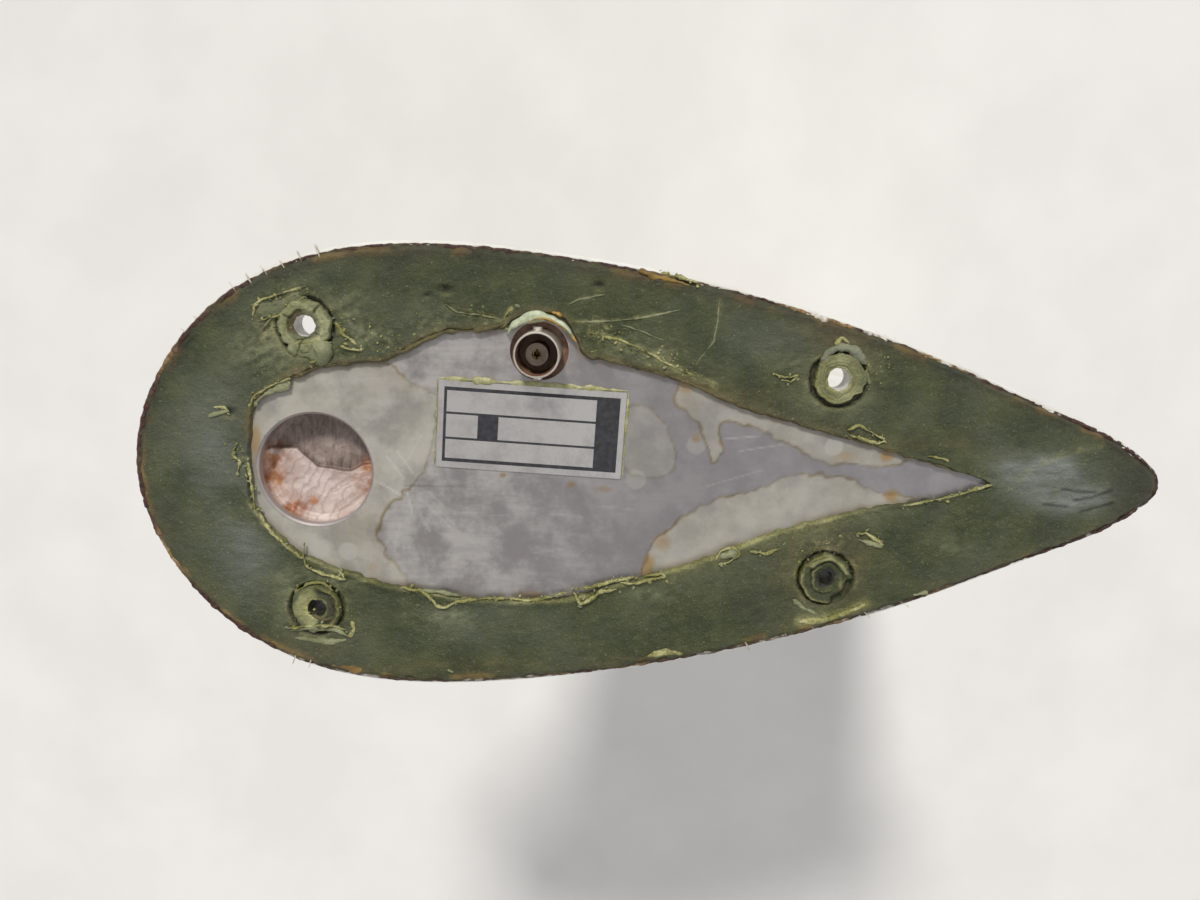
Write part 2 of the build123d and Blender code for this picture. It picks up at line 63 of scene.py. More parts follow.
def points_in(text):
    """Points written as text, x and y in turn."""
    return np.array(text.split(), float).reshape(-1, 2)


def smooth(value, low, high):
    """0 below low, 1 above high, and a smooth step between them."""
    t = np.clip((value - low) / (high - low), 0, 1)
    return t * t * (3 - 2 * t)


def bell(value, width):
    """1 where value is 0, falling off to nothing over about twice the width."""
    return np.exp(-((value / width) ** 2))


def blob(x, y, at_x, at_y, reach_x, reach_y=None):
    """A bell over a round or oval spot."""
    return bell(np.hypot((x - at_x) / reach_x, (y - at_y) / (reach_y or reach_x)), 1)


def noise(x, y, size, seed, cells=128):
    """Smooth relief between -1 and 1: random heights on a square grid of that size, blended smoothly."""
    heights = np.random.default_rng(seed).uniform(-1, 1, (cells, cells))
    x, y = np.asarray(x) / size, np.asarray(y) / size
    col, row = np.floor(x).astype(int), np.floor(y).astype(int)
    part_x, part_y = smooth(x - col, 0, 1), smooth(y - row, 0, 1)
    col, row, next_col, next_row = col % cells, row % cells, (col + 1) % cells, (row + 1) % cells
    low = heights[col, row] * (1 - part_x) + heights[next_col, row] * part_x
    high = heights[col, next_row] * (1 - part_x) + heights[next_col, next_row] * part_x
    return low * (1 - part_y) + high * part_y


def rough(x, y, size, seed, octaves=3):
    """Several noises added, each half the size and half the height of the one before."""
    return sum(noise(x, y, size / 2**k, seed + k) / 2**k for k in range(octaves))


def patchy(x, y, size, seed, middle, gain, octaves=1):
    """A share that wanders round a middle value by the gain, held between 0 and 1."""
    return np.clip(middle + gain * rough(x, y, size, seed, octaves), 0, 1)


def length_of(path):
    """Length of a run of straight pieces."""
    return np.hypot(*np.diff(path, axis=0).T).sum()


def along(points, count, closed=False):
    """Points spread evenly along a run of straight pieces."""
    points = np.asarray(points, float)
    if closed:
        points = np.vstack([points, points[:1]])
    steps = np.hypot(*np.diff(points, axis=0).T)
    length = np.concatenate([[0], np.cumsum(steps)])
    spots = np.linspace(0, length[-1], count, endpoint=not closed)
    return np.column_stack([np.interp(spots, length, points[:, k]) for k in (0, 1)])


def rounded(points, each, closed=True):
    """A curve through the points: on each run a cubic with the tangents of its neighbours."""
    p = np.asarray(points, float)
    before, after = np.roll(p, 1, axis=0), np.roll(p, -1, axis=0)
    following = np.roll(p, -2, axis=0)
    t = np.linspace(0, 1, each, endpoint=False)[:, None, None]
    curve = 0.5 * (
        2 * p
        + (after - before) * t
        + (2 * before - 5 * p + 4 * after - following) * t**2
        + (3 * p - before - 3 * after + following) * t**3
    )
    curve = curve.transpose(1, 0, 2)
    if not closed:
        curve = np.vstack([curve[1:-2].reshape(-1, 2), p[-2:-1]])
    return curve.reshape(-1, 2)


def inside(x, y, polygon):
    """True where a point lies in the polygon, by counting the edges that it has to its left."""
    found = np.zeros(np.shape(x), bool)
    for (ax, ay), (bx, by) in zip(polygon, np.roll(polygon, -1, axis=0)):
        if ay != by:
            found ^= ((ay > y) != (by > y)) & (x < (bx - ax) * (y - ay) / (by - ay) + ax)
    return found


def distance(x, y, points, closed=True):
    """Distance to the nearest of the straight pieces between the points."""
    points = np.reshape(points, (-1, 2))
    pairs = list(zip(points, np.roll(points, -1, axis=0)))
    best = np.full(np.shape(x), 1e9)
    for (ax, ay), (bx, by) in pairs if closed else pairs[:-1]:
        dx, dy = bx - ax, by - ay
        t = np.clip(((x - ax) * dx + (y - ay) * dy) / max(dx * dx + dy * dy, 1e-12), 0, 1)
        best = np.minimum(best, np.hypot(x - ax - t * dx, y - ay - t * dy))
    return best


def depth(x, y, polygon):
    """Distance to the polygon's edge, positive inside it and negative outside."""
    return distance(x, y, polygon) * np.where(inside(x, y, polygon), 1, -1)


def pulled_in(ring, amount):
    """The closed ring moved inwards by an amount at each point."""
    tangent = np.roll(ring, -1, axis=0) - np.roll(ring, 1, axis=0)
    tangent /= np.maximum(np.hypot(*tangent.T), 1e-9)[:, None]
    normal = np.column_stack([-tangent[:, 1], tangent[:, 0]])
    facing = np.sign(((ring.mean(axis=0) - ring) * normal).sum(axis=1))
    return ring + normal * (facing * amount)[:, None]


def circle(count):
    """Cosines and sines of angles spread evenly round a circle."""
    angle = np.arange(count) / count * TWO_PI
    return np.cos(angle), np.sin(angle)


# Meshes


def in_scene(name, data):
    """An object with that data, linked to the scene."""
    thing = bpy.data.objects.new(name, data)
    bpy.context.scene.collection.objects.link(thing)
    return thing


def dress(piece, slot, *replaced):
    """The piece rides on the part and stands for the nodes named, which are hidden; the slot is not used."""
    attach(piece, "root")
    if replaced:
        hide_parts(*replaced)
    return piece


def new_mesh(name, points, faces, material, sharp=None):
    """A smooth shaded mesh from points in metres, with its edges sharp past an angle if one is given."""
    mesh = bpy.data.meshes.new(name)
    mesh.from_pydata(points.tolist(), [], faces)
    mesh.polygons.foreach_set("use_smooth", np.ones(len(faces), bool))
    mesh.validate()
    if sharp:
        mesh.set_sharp_from_angle(angle=math.radians(sharp))
    mesh.materials.append(material)
    return mesh


def add_piece(name, slot, replaced, points, quads, material, values=None, sharp=None, caps=()):
    """A piece from points in millimetres, four-cornered faces, many-cornered caps and values at points."""
    points = np.asarray(points, np.float32).reshape(-1, 3) * MM
    mesh = new_mesh(name, points, [*quads.tolist(), *caps], material, sharp)
    for key, value in (values or {}).items():
        layer = mesh.attributes.new(key, "FLOAT", "POINT")
        layer.data.foreach_set("value", np.asarray(value, np.float32).ravel())
    return dress(in_scene(name, mesh), slot, *replaced)


def outward(points, quads):
    """The faces of a closed shape, turned over if they look inwards, which the sign of the volume tells."""
    p = np.asarray(points, float).reshape(-1, 3)
    p = p - p.mean(axis=0)
    a, b, c, d = (p[quads[:, k]] for k in range(4))
    volume = np.einsum("ij,ij->", a, np.cross(b, c)) + np.einsum("ij,ij->", a, np.cross(c, d))
    return quads if volume > 0 else quads[:, ::-1]


def grid_quads(count_u, count_v, closed_u=False, closed_v=False):
    """Faces between the rows and columns of a grid whose points are numbered row by row."""
    index = np.arange(count_u * count_v).reshape(count_u, count_v)
    if closed_u:
        index = np.vstack([index, index[:1]])
    if closed_v:
        index = np.hstack([index, index[:, :1]])
    a, b = index[:-1, :-1], index[1:, :-1]
    c, d = index[1:, 1:], index[:-1, 1:]
    return np.stack([a, b, c, d], axis=-1).reshape(-1, 4)


def shares(values, rows=(0, 0), columns=(0, 0), mode="edge"):
    """Values held between 0 and 1 and carried on to the rows and columns that were added round them."""
    return {key: np.clip(np.pad(value, (rows, columns), mode), 0, 1) for key, value in values.items()}


def ribbon(path, wide, high, seed, foot=0.0, grain=0.9):
    """Points, faces and crest shares of a ridge along a path: its rounded section wanders by the grain."""
    path = np.asarray(path, float)
    count = len(path)
    ahead = np.roll(path, -1, axis=0) - np.roll(path, 1, axis=0)
    ahead[0], ahead[-1] = path[1] - path[0], path[-1] - path[-2]
    ahead /= np.maximum(np.hypot(*ahead.T), 1e-9)[:, None]
    x, y = path.T
    run = np.minimum(np.arange(count), np.arange(count)[::-1]) / max(count - 1, 1)
    ease = np.sqrt(np.clip(run * 8, 0.02, 1))
    wide = wide * np.clip(1 + 0.75 * rough(x, y, grain, seed), 0.3, 2.2) * ease
    high = high * np.clip(1 + 0.6 * rough(x, y, 1.7 * grain, seed + 7), 0.2, 2) * ease
    section = np.array([(-0.5, -0.15), (-0.44, 0.5), (-0.2, 0.95), (0.1, 1.0), (0.38, 0.6), (0.5, -0.15)])
    rows = np.arange(count)[:, None] * 0.3 / grain + np.arange(len(section)) * 5.1
    across = section[:, 0] * wide[:, None]
    lift = section[:, 1] * high[:, None]
    lift = lift * (1 + 0.3 * noise(rows, rows * 0 + seed, 1.0, seed + 3) * (section[:, 1] > 0.6))
    x, y = x[:, None] - ahead[:, 1:] * across, y[:, None] + ahead[:, :1] * across
    points = np.stack([x, y, foot + lift], axis=-1).reshape(-1, 3)
    last = (count - 1) * len(section)
    near_end = [(0, 1, 4, 5), (1, 2, 3, 4)]
    far_end = [(last + a, last + b, last + c, last + d) for a, b, c, d in ((5, 4, 1, 0), (4, 3, 2, 1))]
    quads = np.vstack([grid_quads(count, len(section), closed_v=True), near_end, far_end])
    return points, outward(points, quads), np.clip(section[:, 1] + 0 * rows, 0, 1).ravel()


def joined(parts):
    """Several sets of points and faces made into one."""
    starts = np.cumsum([0] + [len(part[0]) for part in parts[:-1]])
    quads = [part[1] + start for part, start in zip(parts, starts)]
    return np.concatenate([part[0] for part in parts]), np.concatenate(quads)


# Materials


def linear(colour):
    """A colour written as hex, turned into linear light."""
    parts = [int(colour[k : k + 2], 16) / 255 for k in (1, 3, 5)]
    return tuple(c / 12.92 if c <= 0.04045 else ((c + 0.055) / 1.055) ** 2.4 for c in parts) + (1,)


SMOOTH = {"interpolation_type": "SMOOTHSTEP"}
COLOURS = {"data_type": "RGBA"}


def add(tree, kind, inputs=None, output=0, **settings):
    """An output of a new node with its settings, whose inputs are values, hex colours or other outputs."""
    node = tree.nodes.new("ShaderNode" + kind)
    for key, value in settings.items():
        setattr(node, key, value)
    for key, value in (inputs or {}).items():
        if isinstance(value, bpy.types.NodeSocket):
            tree.links.new(value, node.inputs[key])
        else:
            node.inputs[key].default_value = linear(value) if isinstance(value, str) else value
    return node.outputs[output] if node.outputs else None


def new_look(name):
    """A new material, its empty node tree, and the place coordinates of the piece that it is on."""
    material = bpy.data.materials.new(name)
    material.use_nodes = True
    tree = material.node_tree
    tree.nodes.clear()
    return material, tree, add(tree, "TexCoord", output="Object")


def laid(tree, colour, over, pattern, low, high, most=1.0, least=0.0):
    """A colour under another, whose share goes from least to most as the pattern goes from low to high."""
    share = add(tree, "MapRange", {0: pattern, 1: low, 2: high, 3: least, 4: most}, **SMOOTH)
    return add(tree, "Mix", {0: share, 6: colour, 7: over}, 2, **COLOURS)


def coated(tree, colour, **layers):
    """A colour under others, each laid on by the value of its name that the mesh carries."""
    for name, over in layers.items():
        share = add(tree, "Attribute", output="Fac", attribute_name=name)
        colour = add(tree, "Mix", {0: share, 6: colour, 7: over}, 2, **COLOURS)
    return colour


def broken(tree, colour, over, name, pattern, low, high, least):
    """A colour under another, laid on by the mesh's value of that name, and less where the pattern is low."""
    carried = add(tree, "Attribute", output="Fac", attribute_name=name)
    share = add(tree, "MapRange", {0: pattern, 1: low, 2: high, 3: least}, **SMOOTH)
    share = add(tree, "Math", {0: carried, 1: share}, operation="MULTIPLY")
    return add(tree, "Mix", {0: share, 6: colour, 7: over}, 2, **COLOURS)


def finish(material, inputs):
    """The material with its surface made from these inputs."""
    surface = add(material.node_tree, "BsdfPrincipled", inputs)
    add(material.node_tree, "OutputMaterial", {"Surface": surface})
    return material


def sealant_look():
    """Dried sealant, dark olive, clouded and specked: hazy in places, pale where torn, brown where thin."""
    material, tree, place = new_look("dried_sealant")
    lengthwise = add(tree, "Mapping", {"Vector": place, "Scale": (0.2, 1, 1)})
    mottle, cloud, deep, lumps, grit, grain, streak = (
        add(tree, "TexNoise", {"Vector": at, "Scale": 1 / (size * MM), "Detail": detail, "Roughness": harsh})
        for at, size, detail, harsh in (
            (place, 8, 7, 0.6), (place, 26, 4, 0.6), (place, 17, 5, 0.6), (place, 2.2, 7, 0.68),
            (place, 1, 6, 0.8), (place, 0.5, 4, 0.75), (lengthwise, 1.6, 4, 0.7),
        )
    )
    colour = laid(tree, "#31391b", "#494e28", mottle, 0.34, 0.68)
    colour = laid(tree, colour, "#565a45", cloud, 0.42, 0.62, 0.5)
    colour = laid(tree, colour, "#2c3119", deep, 0.5, 0.68, 0.6)
    colour = laid(tree, colour, "#66694c", streak, 0.5, 0.75, 0.12)
    colour = broken(tree, colour, "#7d827d", "haze", streak, 0.3, 0.7, 0.55)
    pale = laid(tree, "#7b7f5c", "#9b9d78", mottle, 0.4, 0.6)
    brown = laid(tree, "#4f4628", "#665a36", mottle, 0.4, 0.6)
    bright = laid(tree, "#989450", "#cbc68a", mottle, 0.4, 0.6)
    ochre = laid(tree, "#7a5a26", "#a5843f", mottle, 0.4, 0.6)
    colour = coated(tree, colour, pale=pale, brown=brown)
    colour = broken(tree, colour, bright, "torn", grain, 0.3, 0.6, 0.3)
    colour = coated(tree, colour, stain=ochre)
    colour = laid(tree, colour, "#8b8a62", grain, 0.6, 0.7, 0.75)
    colour = laid(tree, colour, "#9a9970", grit, 0.6, 0.68, 0.55)
    colour = laid(tree, colour, "#23261a", grit, 0.32, 0.4, 0.0, 0.5)
    # The mesh's dark value is mostly painted shade: in grooves, hollows, cuts, dents, down bores and under
    # the rim.
    colour = coated(tree, colour, dark="#16150f")
    relief = add(tree, "Bump", {"Height": grain, "Distance": 0.3 * MM})
    relief = add(tree, "Bump", {"Height": lumps, "Distance": 0.7 * MM, "Normal": relief})
    gloss = add(tree, "MapRange", {0: cloud, 1: 0.35, 2: 0.65, 3: 0.3, 4: 0.5}, **SMOOTH)
    return finish(material, {"Base Color": colour, "Roughness": gloss, "Normal": relief})


def crust_look():
    """Broken edge of paint, primer and sealant: dark red-brown, tan and white crumbs side by side."""
    material, tree, place = new_look("broken_edge_crust")
    patch = add(tree, "TexNoise", {"Vector": place, "Scale": 1 / (4 * MM), "Detail": 4, "Roughness": 0.65})
    crumbs = add(tree, "TexNoise", {"Vector": place, "Scale": 1 / (0.9 * MM), "Detail": 4, "Roughness": 0.7})
    colour = laid(tree, "#4a4a2e", "#5b5434", patch, 0.4, 0.6)
    maroon = laid(tree, "#2a1712", "#4f2d22", crumbs, 0.4, 0.6)
    tan = laid(tree, "#86683c", "#b09468", crumbs, 0.4, 0.6)
    white = laid(tree, "#c9c4b8", "#e9e6de", crumbs, 0.4, 0.6)
    colour = coated(tree, colour, maroon=maroon, tan=tan, white=white)
    relief = add(tree, "Bump", {"Height": crumbs, "Distance": 0.5 * MM})
    return finish(material, {"Base Color": colour, "Roughness": 0.6, "Normal": relief})


def plate_look():
    """Bare aluminium of the base plate: faint rolling lines and a dull, clouded surface."""
    material, tree, place = new_look("bare_aluminium")
    # Real rolling lines are too fine to show here, so they are drawn 1.2 mm wide
    lengthwise = add(tree, "Mapping", {"Vector": place, "Scale": (0.05, 1, 1)})
    rolling = {"Vector": lengthwise, "Scale": 1 / (1.2 * MM), "Detail": 3, "Roughness": 0.55}
    rolling = add(tree, "TexNoise", rolling)
    cloud = add(tree, "TexNoise", {"Vector": place, "Scale": 1 / (14 * MM), "Detail": 4, "Roughness": 0.6})
    colour = laid(tree, "#a19a98", "#b5aeab", cloud, 0.35, 0.65)
    colour = laid(tree, colour, "#8b8483", rolling, 0.3, 0.7, 0.2)
    gloss = add(tree, "MapRange", {0: cloud, 1: 0.3, 2: 0.7, 3: 0.38, 4: 0.52}, **SMOOTH)
    relief = add(tree, "Bump", {"Height": rolling, "Distance": 0.02 * MM})
    return finish(material, {"Base Color": colour, "Metallic": 0.6, "Roughness": gloss, "Normal": relief})


def residue_look():
    """The plate's face where sealant was pulled off: metal, tan films with amber edges, stains, scratches."""
    material, tree, place = new_look("plate_face_with_residue")
    # The rolling lines are drawn 1.6 mm wide, because real ones are too fine to show here
    lengthwise = add(tree, "Mapping", {"Vector": place, "Scale": (0.12, 1, 1)})
    rolling, cloud, fine = (
        add(tree, "TexNoise", {"Vector": at, "Scale": 1 / (size * MM), "Detail": detail, "Roughness": harsh})
        for at, size, detail, harsh in (
            (lengthwise, 1.6, 4, 0.65), (place, 11, 5, 0.65), (place, 0.9, 4, 0.7),
        )
    )
    metal = laid(tree, "#928d8b", "#bbb6b2", cloud, 0.38, 0.62)
    # Painted reflection: the metal darkens where the mesh's value for it is high, towards the tail.
    metal = laid(tree, coated(tree, metal, dull="#858184"), "#878383", rolling, 0.4, 0.7, 0.3)
    film = laid(tree, "#8f8b7f", "#a6a195", cloud, 0.35, 0.65)
    film = laid(tree, film, "#aaa697", fine, 0.5, 0.75, 0.3)
    amber = laid(tree, "#6a5d40", "#84744c", cloud, 0.4, 0.6)
    colour = coated(tree, metal, film=film, tone="#7f7462", disc="#aaa8a2", edge=amber, stain="#92733f")
    colour = coated(tree, colour, scratch="#cfccc8", dark="#4a443c")
    cover = add(tree, "Attribute", output="Fac", attribute_name="film")
    bare = add(tree, "MapRange", {0: cover, 1: 0.0, 2: 1.0, 3: 0.6, 4: 0.05}, **SMOOTH)
    gloss = add(tree, "MapRange", {0: cover, 1: 0.0, 2: 1.0, 3: 0.42, 4: 0.48}, **SMOOTH)
    relief = add(tree, "Bump", {"Height": rolling, "Distance": 0.03 * MM})
    relief = add(tree, "Bump", {"Height": fine, "Distance": 0.04 * MM, "Normal": relief})
    return finish(material, {"Base Color": colour, "Metallic": bare, "Roughness": gloss, "Normal": relief})


def filler_look():
    """Cast filler in the port, pinkish white: contour lines, a brown upper half darkened as painted shadow
    from the port's rim, orange resin at its edge.
    """
    material, tree, place = new_look("cast_filler")
    centred = add(tree, "Mapping", {"Vector": place, "Location": (-0.0425, -0.0165, 0.0)})
    crosswise = add(tree, "Mapping", {"Vector": place, "Scale": (1.0, 0.3, 1.0)})
    # Contour lines 2.1 mm apart: the wave texture has one ring to 0.315 of its own units
    wave = {"Vector": centred, "Scale": 0.315 / (2.1 * MM), "Detail": 3.0, "Detail Scale": 1.4}
    wave["Distortion"] = 9.0
    rings = add(tree, "TexWave", wave, "Fac", wave_type="RINGS", rings_direction="Z")
    fine, patch, grain = (
        add(tree, "TexNoise", {"Vector": at, "Scale": 1 / (size * MM), "Detail": 5, "Roughness": harsh})
        for at, size, harsh in ((place, 0.8, 0.7), (place, 4, 0.55), (crosswise, 1.0, 0.7))
    )
    colour = laid(tree, "#b5a199", "#cdbdb6", patch, 0.35, 0.65)
    colour = laid(tree, colour, "#8f7a70", rings, 0.72, 1.0, 0.4)
    # The brown of the upper half, darkened as painted shadow from the port's rim.
    colour = coated(tree, colour, brown=laid(tree, "#56463d", "#83726a", grain, 0.35, 0.65))
    resin = laid(tree, "#8a4e2a", "#a9754c", patch, 0.4, 0.6)
    colour = broken(tree, colour, resin, "orange", fine, 0.3, 0.6, 0.75)
    # Painted shade: thin dark lines along the edges of the step and the ledge.
    colour = coated(tree, colour, line="#4a352a")
    relief = add(tree, "Bump", {"Height": fine, "Distance": 0.08 * MM})
    relief = add(tree, "Bump", {"Height": rings, "Distance": 0.05 * MM, "Normal": relief})
    return finish(material, {"Base Color": colour, "Roughness": 0.45, "Normal": relief})


def paint_look():
    """Old white polyurethane paint on the radome: slightly yellowed, with dirt runs and small dark specks."""
    material, tree, place = new_look("weathered_white_paint")
    upright = add(tree, "Mapping", {"Vector": place, "Scale": (1.0, 1.0, 0.12)})
    cloud, runs, specks, ripple = (
        add(tree, "TexNoise", {"Vector": at, "Scale": 1 / (size * MM), "Detail": detail, "Roughness": 0.55})
        for at, size, detail in ((place, 45, 4), (upright, 9, 4), (place, 1.6, 3), (place, 3.5, 2))
    )
    colour = laid(tree, "#d9d8d3", "#c9c7bf", cloud, 0.35, 0.7)
    colour = laid(tree, colour, "#a9a497", runs, 0.5, 0.8, 0.55)
    colour = laid(tree, colour, "#7d766a", specks, 0.68, 0.74, 0.7)
    gloss = add(tree, "MapRange", {0: cloud, 1: 0.3, 2: 0.7, 3: 0.32, 4: 0.5}, **SMOOTH)
    relief = add(tree, "Bump", {"Height": ripple, "Distance": 0.03 * MM})
    inputs = {"Base Color": colour, "Roughness": gloss, "Normal": relief}
    return finish(material, {**inputs, "Coat Weight": 0.15, "Coat Roughness": 0.3})


def metal_look(name, light, dark, size, roughness):
    """A metal part: two shades of its colour, clouded at that size, under light wear.

    The wear's marks are drawn half a millimetre across, which is as fine as shows here.
    """
    material, tree, place = new_look(name)
    cloud = add(tree, "TexNoise", {"Vector": place, "Scale": 1 / (size * MM), "Detail": 5, "Roughness": 0.65})
    grain = add(tree, "TexNoise", {"Vector": place, "Scale": 1 / (0.5 * MM), "Detail": 3, "Roughness": 0.55})
    colour = laid(tree, light, dark, cloud, 0.35, 0.68)
    shine = {0: cloud, 1: 0.3, 2: 0.7, 3: roughness - 0.08, 4: roughness + 0.1}
    gloss = add(tree, "MapRange", shine, **SMOOTH)
    relief = add(tree, "Bump", {"Height": grain, "Distance": 0.01 * MM})
    return finish(material, {"Base Color": colour, "Metallic": 1.0, "Roughness": gloss, "Normal": relief})


def dull_look(name, light, dark, size, roughness, rise=0.03):
    """A part of plastic, resin or dull metal that doesn't shine: two shades of its colour, a fine grain.

    The grain is drawn 0.6 mm across, which is as fine as shows here.
    """
    material, tree, place = new_look(name)
    cloud = add(tree, "TexNoise", {"Vector": place, "Scale": 1 / (size * MM), "Detail": 5, "Roughness": 0.6})
    grain = add(tree, "TexNoise", {"Vector": place, "Scale": 1 / (0.6 * MM), "Detail": 3, "Roughness": 0.55})
    colour = laid(tree, light, dark, cloud, 0.35, 0.68)
    relief = add(tree, "Bump", {"Height": grain, "Distance": rise * MM})
    return finish(material, {"Base Color": colour, "Roughness": roughness, "Normal": relief})


sealant = sealant_look()
crust = crust_look()
bare_plate = plate_look()
residue = residue_look()
filler = filler_look()
paint = paint_look()
nickel = metal_look("worn_nickel_plate", "#f1eae0", "#cfc5b8", 3, 0.38)  # warm pale grey, rubbed dull by use
bushing_metal = dull_look("plated_steel_bushing", "#c9c6c0", "#a29e96", 2, 0.3)  # pale grey, half matt
painted_shade_bushing = dull_look("painted_shade_bushing", "#0e0d0b", "#1f1e19", 2, 0.6)  # almost black: painted shade, standing in for the shade down the lower screw holes
bore_tarnish_and_shade = dull_look("jack_bore_tarnish_and_shade", "#93705a", "#6b4d39", 2, 0.45)  # pinkish brown: tarnish in the bore, and painted shade on the flange behind the plate
insulation = dull_look("aged_insulator", "#55483d", "#3f342b", 1.5, 0.5)  # moulded plastic gone dark brown
gilt = metal_look("tarnished_contact", "#8c7a55", "#4a3c28", 0.8, 0.4)  # thin gilding gone dark gold
pale_sealant = dull_look("pale_sealant", "#c3cab0", "#9aa384", 1.6, 0.55, 0.15)  # chalky green, lumpy
bead_sealant = dull_look("yellowed_bead", "#a8a67e", "#85824f", 1.4, 0.5, 0.12)  # yellow-green, waxy
ochre_sealant = dull_look("ochre_sealant", "#b28d3c", "#8a6a2a", 1.0, 0.5, 0.15)  # stained ochre, lumpy
fibre = dull_look("glass_fibre", "#d6cfc0", "#b5ab98", 0.8, 0.6, 0.02)  # straw white, matt where it broke
foil = metal_look("placard_foil", "#dcd9d5", "#b8b4b1", 6, 0.42)  # silver with soft clouds
print_black = dull_look("placard_print", "#232326", "#35343a", 1.2, 0.5, 0.01)  # printed ink, flat black
screw_steel = metal_look("screw_steel", "#a9a9a6", "#7c7b78", 2, 0.35)  # turned steel, cool grey
copper = metal_look("copper", "#c98458", "#9c5f3c", 3, 0.35)  # drawn copper, salmon, dulled
brass = metal_look("brass", "#c3a35a", "#8f7540", 2, 0.35)  # turned brass, dull yellow
foam = dull_look("rigid_foam", "#d9cda6", "#c4b58b", 2, 0.9, 0.2)  # cut foam, matt cream, coarse
laminate = dull_look("card_laminate", "#7d8a4a", "#6c7a3e", 4, 0.45)  # pressed glass laminate, olive green
plastic = dull_look("former_plastic", "#e2dfd4", "#d3cfc2", 3, 0.5)  # moulded plastic, off-white
ceramic = dull_look("trimmer_ceramic", "#e8e2d4", "#d8d0be", 3, 0.4)  # fired ceramic, ivory, a little shine

finishes = {
    "base_plate": bare_plate, "foam_core": foam, "radiator": brass, "feed_strap": copper, "feed_rivet": brass,
    "jack_insulator": insulation, "jack_contact": gilt, "jack_lead": copper, "jack_screw": screw_steel,
    "matching_card": laminate, "matching_coil": copper, "coil_former": plastic, "trimmer_body": ceramic,
    "trimmer_rotor": brass, "card_post": brass, "card_screw": screw_steel,
    "screw_bushing_front_right": bushing_metal, "screw_bushing_rear_right": bushing_metal,
    # The lower two bushings take an almost black finish as painted shade in their holes.
    "screw_bushing_front_left": painted_shade_bushing, "screw_bushing_rear_left": painted_shade_bushing,
}
for name, piece in nodes.items():
    for start, material in finishes.items():
        if name.startswith(start):
            piece.data.materials.clear()
            piece.data.materials.append(material)


def coordinates(mesh):
    """The places of the mesh's corners."""
    corners = np.empty(len(mesh.vertices) * 3, np.float32)
    mesh.vertices.foreach_get("co", corners)
    return corners.reshape(-1, 3)


def smooth_copy(node, name, slot, material, sharp=32, weld=2e-6):
    """A copy of a CAD node with its corners welded, smooth over its curves and sharp over its edges."""
    source = nodes[node].data
    corners = coordinates(source)
    source.calc_loop_triangles()
    faces = np.empty(len(source.loop_triangles) * 3, np.int32)
    source.loop_triangles.foreach_get("vertices", faces)
    keys = np.round(corners / weld).astype(np.int64)
    _, first, merged = np.unique(keys, axis=0, return_index=True, return_inverse=True)
    faces = merged.ravel()[faces].reshape(-1, 3)
    a, b, c = faces.T
    faces = faces[(a != b) & (b != c) & (a != c)].tolist()
    return dress(in_scene(name, new_mesh(name, corners[first], faces, material, sharp)), slot, node)


def centre(node):
    """Middle of a CAD node seen along Z, in millimetres."""
    low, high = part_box(node)
    return ((low.x + high.x) / 2 / MM, (low.y + high.y) / 2 / MM)


# Places that the CAD gives
screw_names = ("front_right", "front_left", "rear_right", "rear_left")
screws = {name: centre(f"screw_bushing_{name}") for name in screw_names}
port = centre("port_filler")
jack = centre("jack_insulator")


def rim_outline():
    """Outer outline of the base: the radome's corners at the foot of its flange, sorted round the middle."""
    corners = coordinates(nodes["radome_shell"].data) / MM
    ring = corners[np.abs(corners[:, 2] - RIM_FOOT) < 0.02][:, :2]
    return ring[np.argsort(np.arctan2(ring[:, 1], ring[:, 0]))]


outline = rim_outline()

# Inner edge of the sealant, from the nose along the right side to the tail, and back along the left side
tear_right = points_in("""
70.8 0.1  70.2 -6.7  69.4 -12.2  67 -16.6  60.8 -20  54.3 -22.9  46.7 -23.9  41 -24.3  36 -26.6
31.9 -28.9  26.5 -31.1  21.9 -31  15.6 -31.8  12.5 -33.5  7.2 -35.2  1.9 -33.5  -0.8 -29.6  -2.2 -26.3
-7.4 -25.1  -14.5 -23.5  -25.3 -20.5  -33 -17  -40.7 -14.3  -53.8 -10.8  -64.9 -7.9  -71.5 -6  -82.7 -2.9
-91.8 0.5
""")
tear_left = points_in("""
-91.8 0.5  -85.4 2.5  -78.9 3.9  -63.7 6.5  -52.9 9.7  -42 13.1  -28.9 18.7  -20.1 21.9  -15.7 23.2  -9 25
-2.3 27.4  9 28.9  22.5 28.7  33.7 27  42.7 25.3  49.4 23.1  56 20.9  60.4 18.8  64.7 15.2  67.8 11.4
69.9 8.6  70.9 6.8  70.8 0.1
""")
window = rounded(np.vstack([tear_right[:-1], tear_left[:-1]]), 10)


def bed_rings(count):
    """Matching points on the torn edge and the outline, each half shared out evenly from nose to tail."""
    half, tail = count // 2, 10 * (len(tear_right) - 1)
    right, left = outline[outline[:, 1] <= 0], outline[outline[:, 1] > 0]
    right = np.vstack([(NOSE_X, 0.0), right[np.argsort(-right[:, 0])], (TAIL_X, 0.0)])
    left = np.vstack([(TAIL_X, 0.0), left[np.argsort(left[:, 0])], (NOSE_X, 0.0)])
    inner = window[: tail + 1], np.vstack([window[tail:], window[:1]])
    return [np.vstack([along(part, half + 1)[:-1] for part in ring]) for ring in (inner, (right, left))]


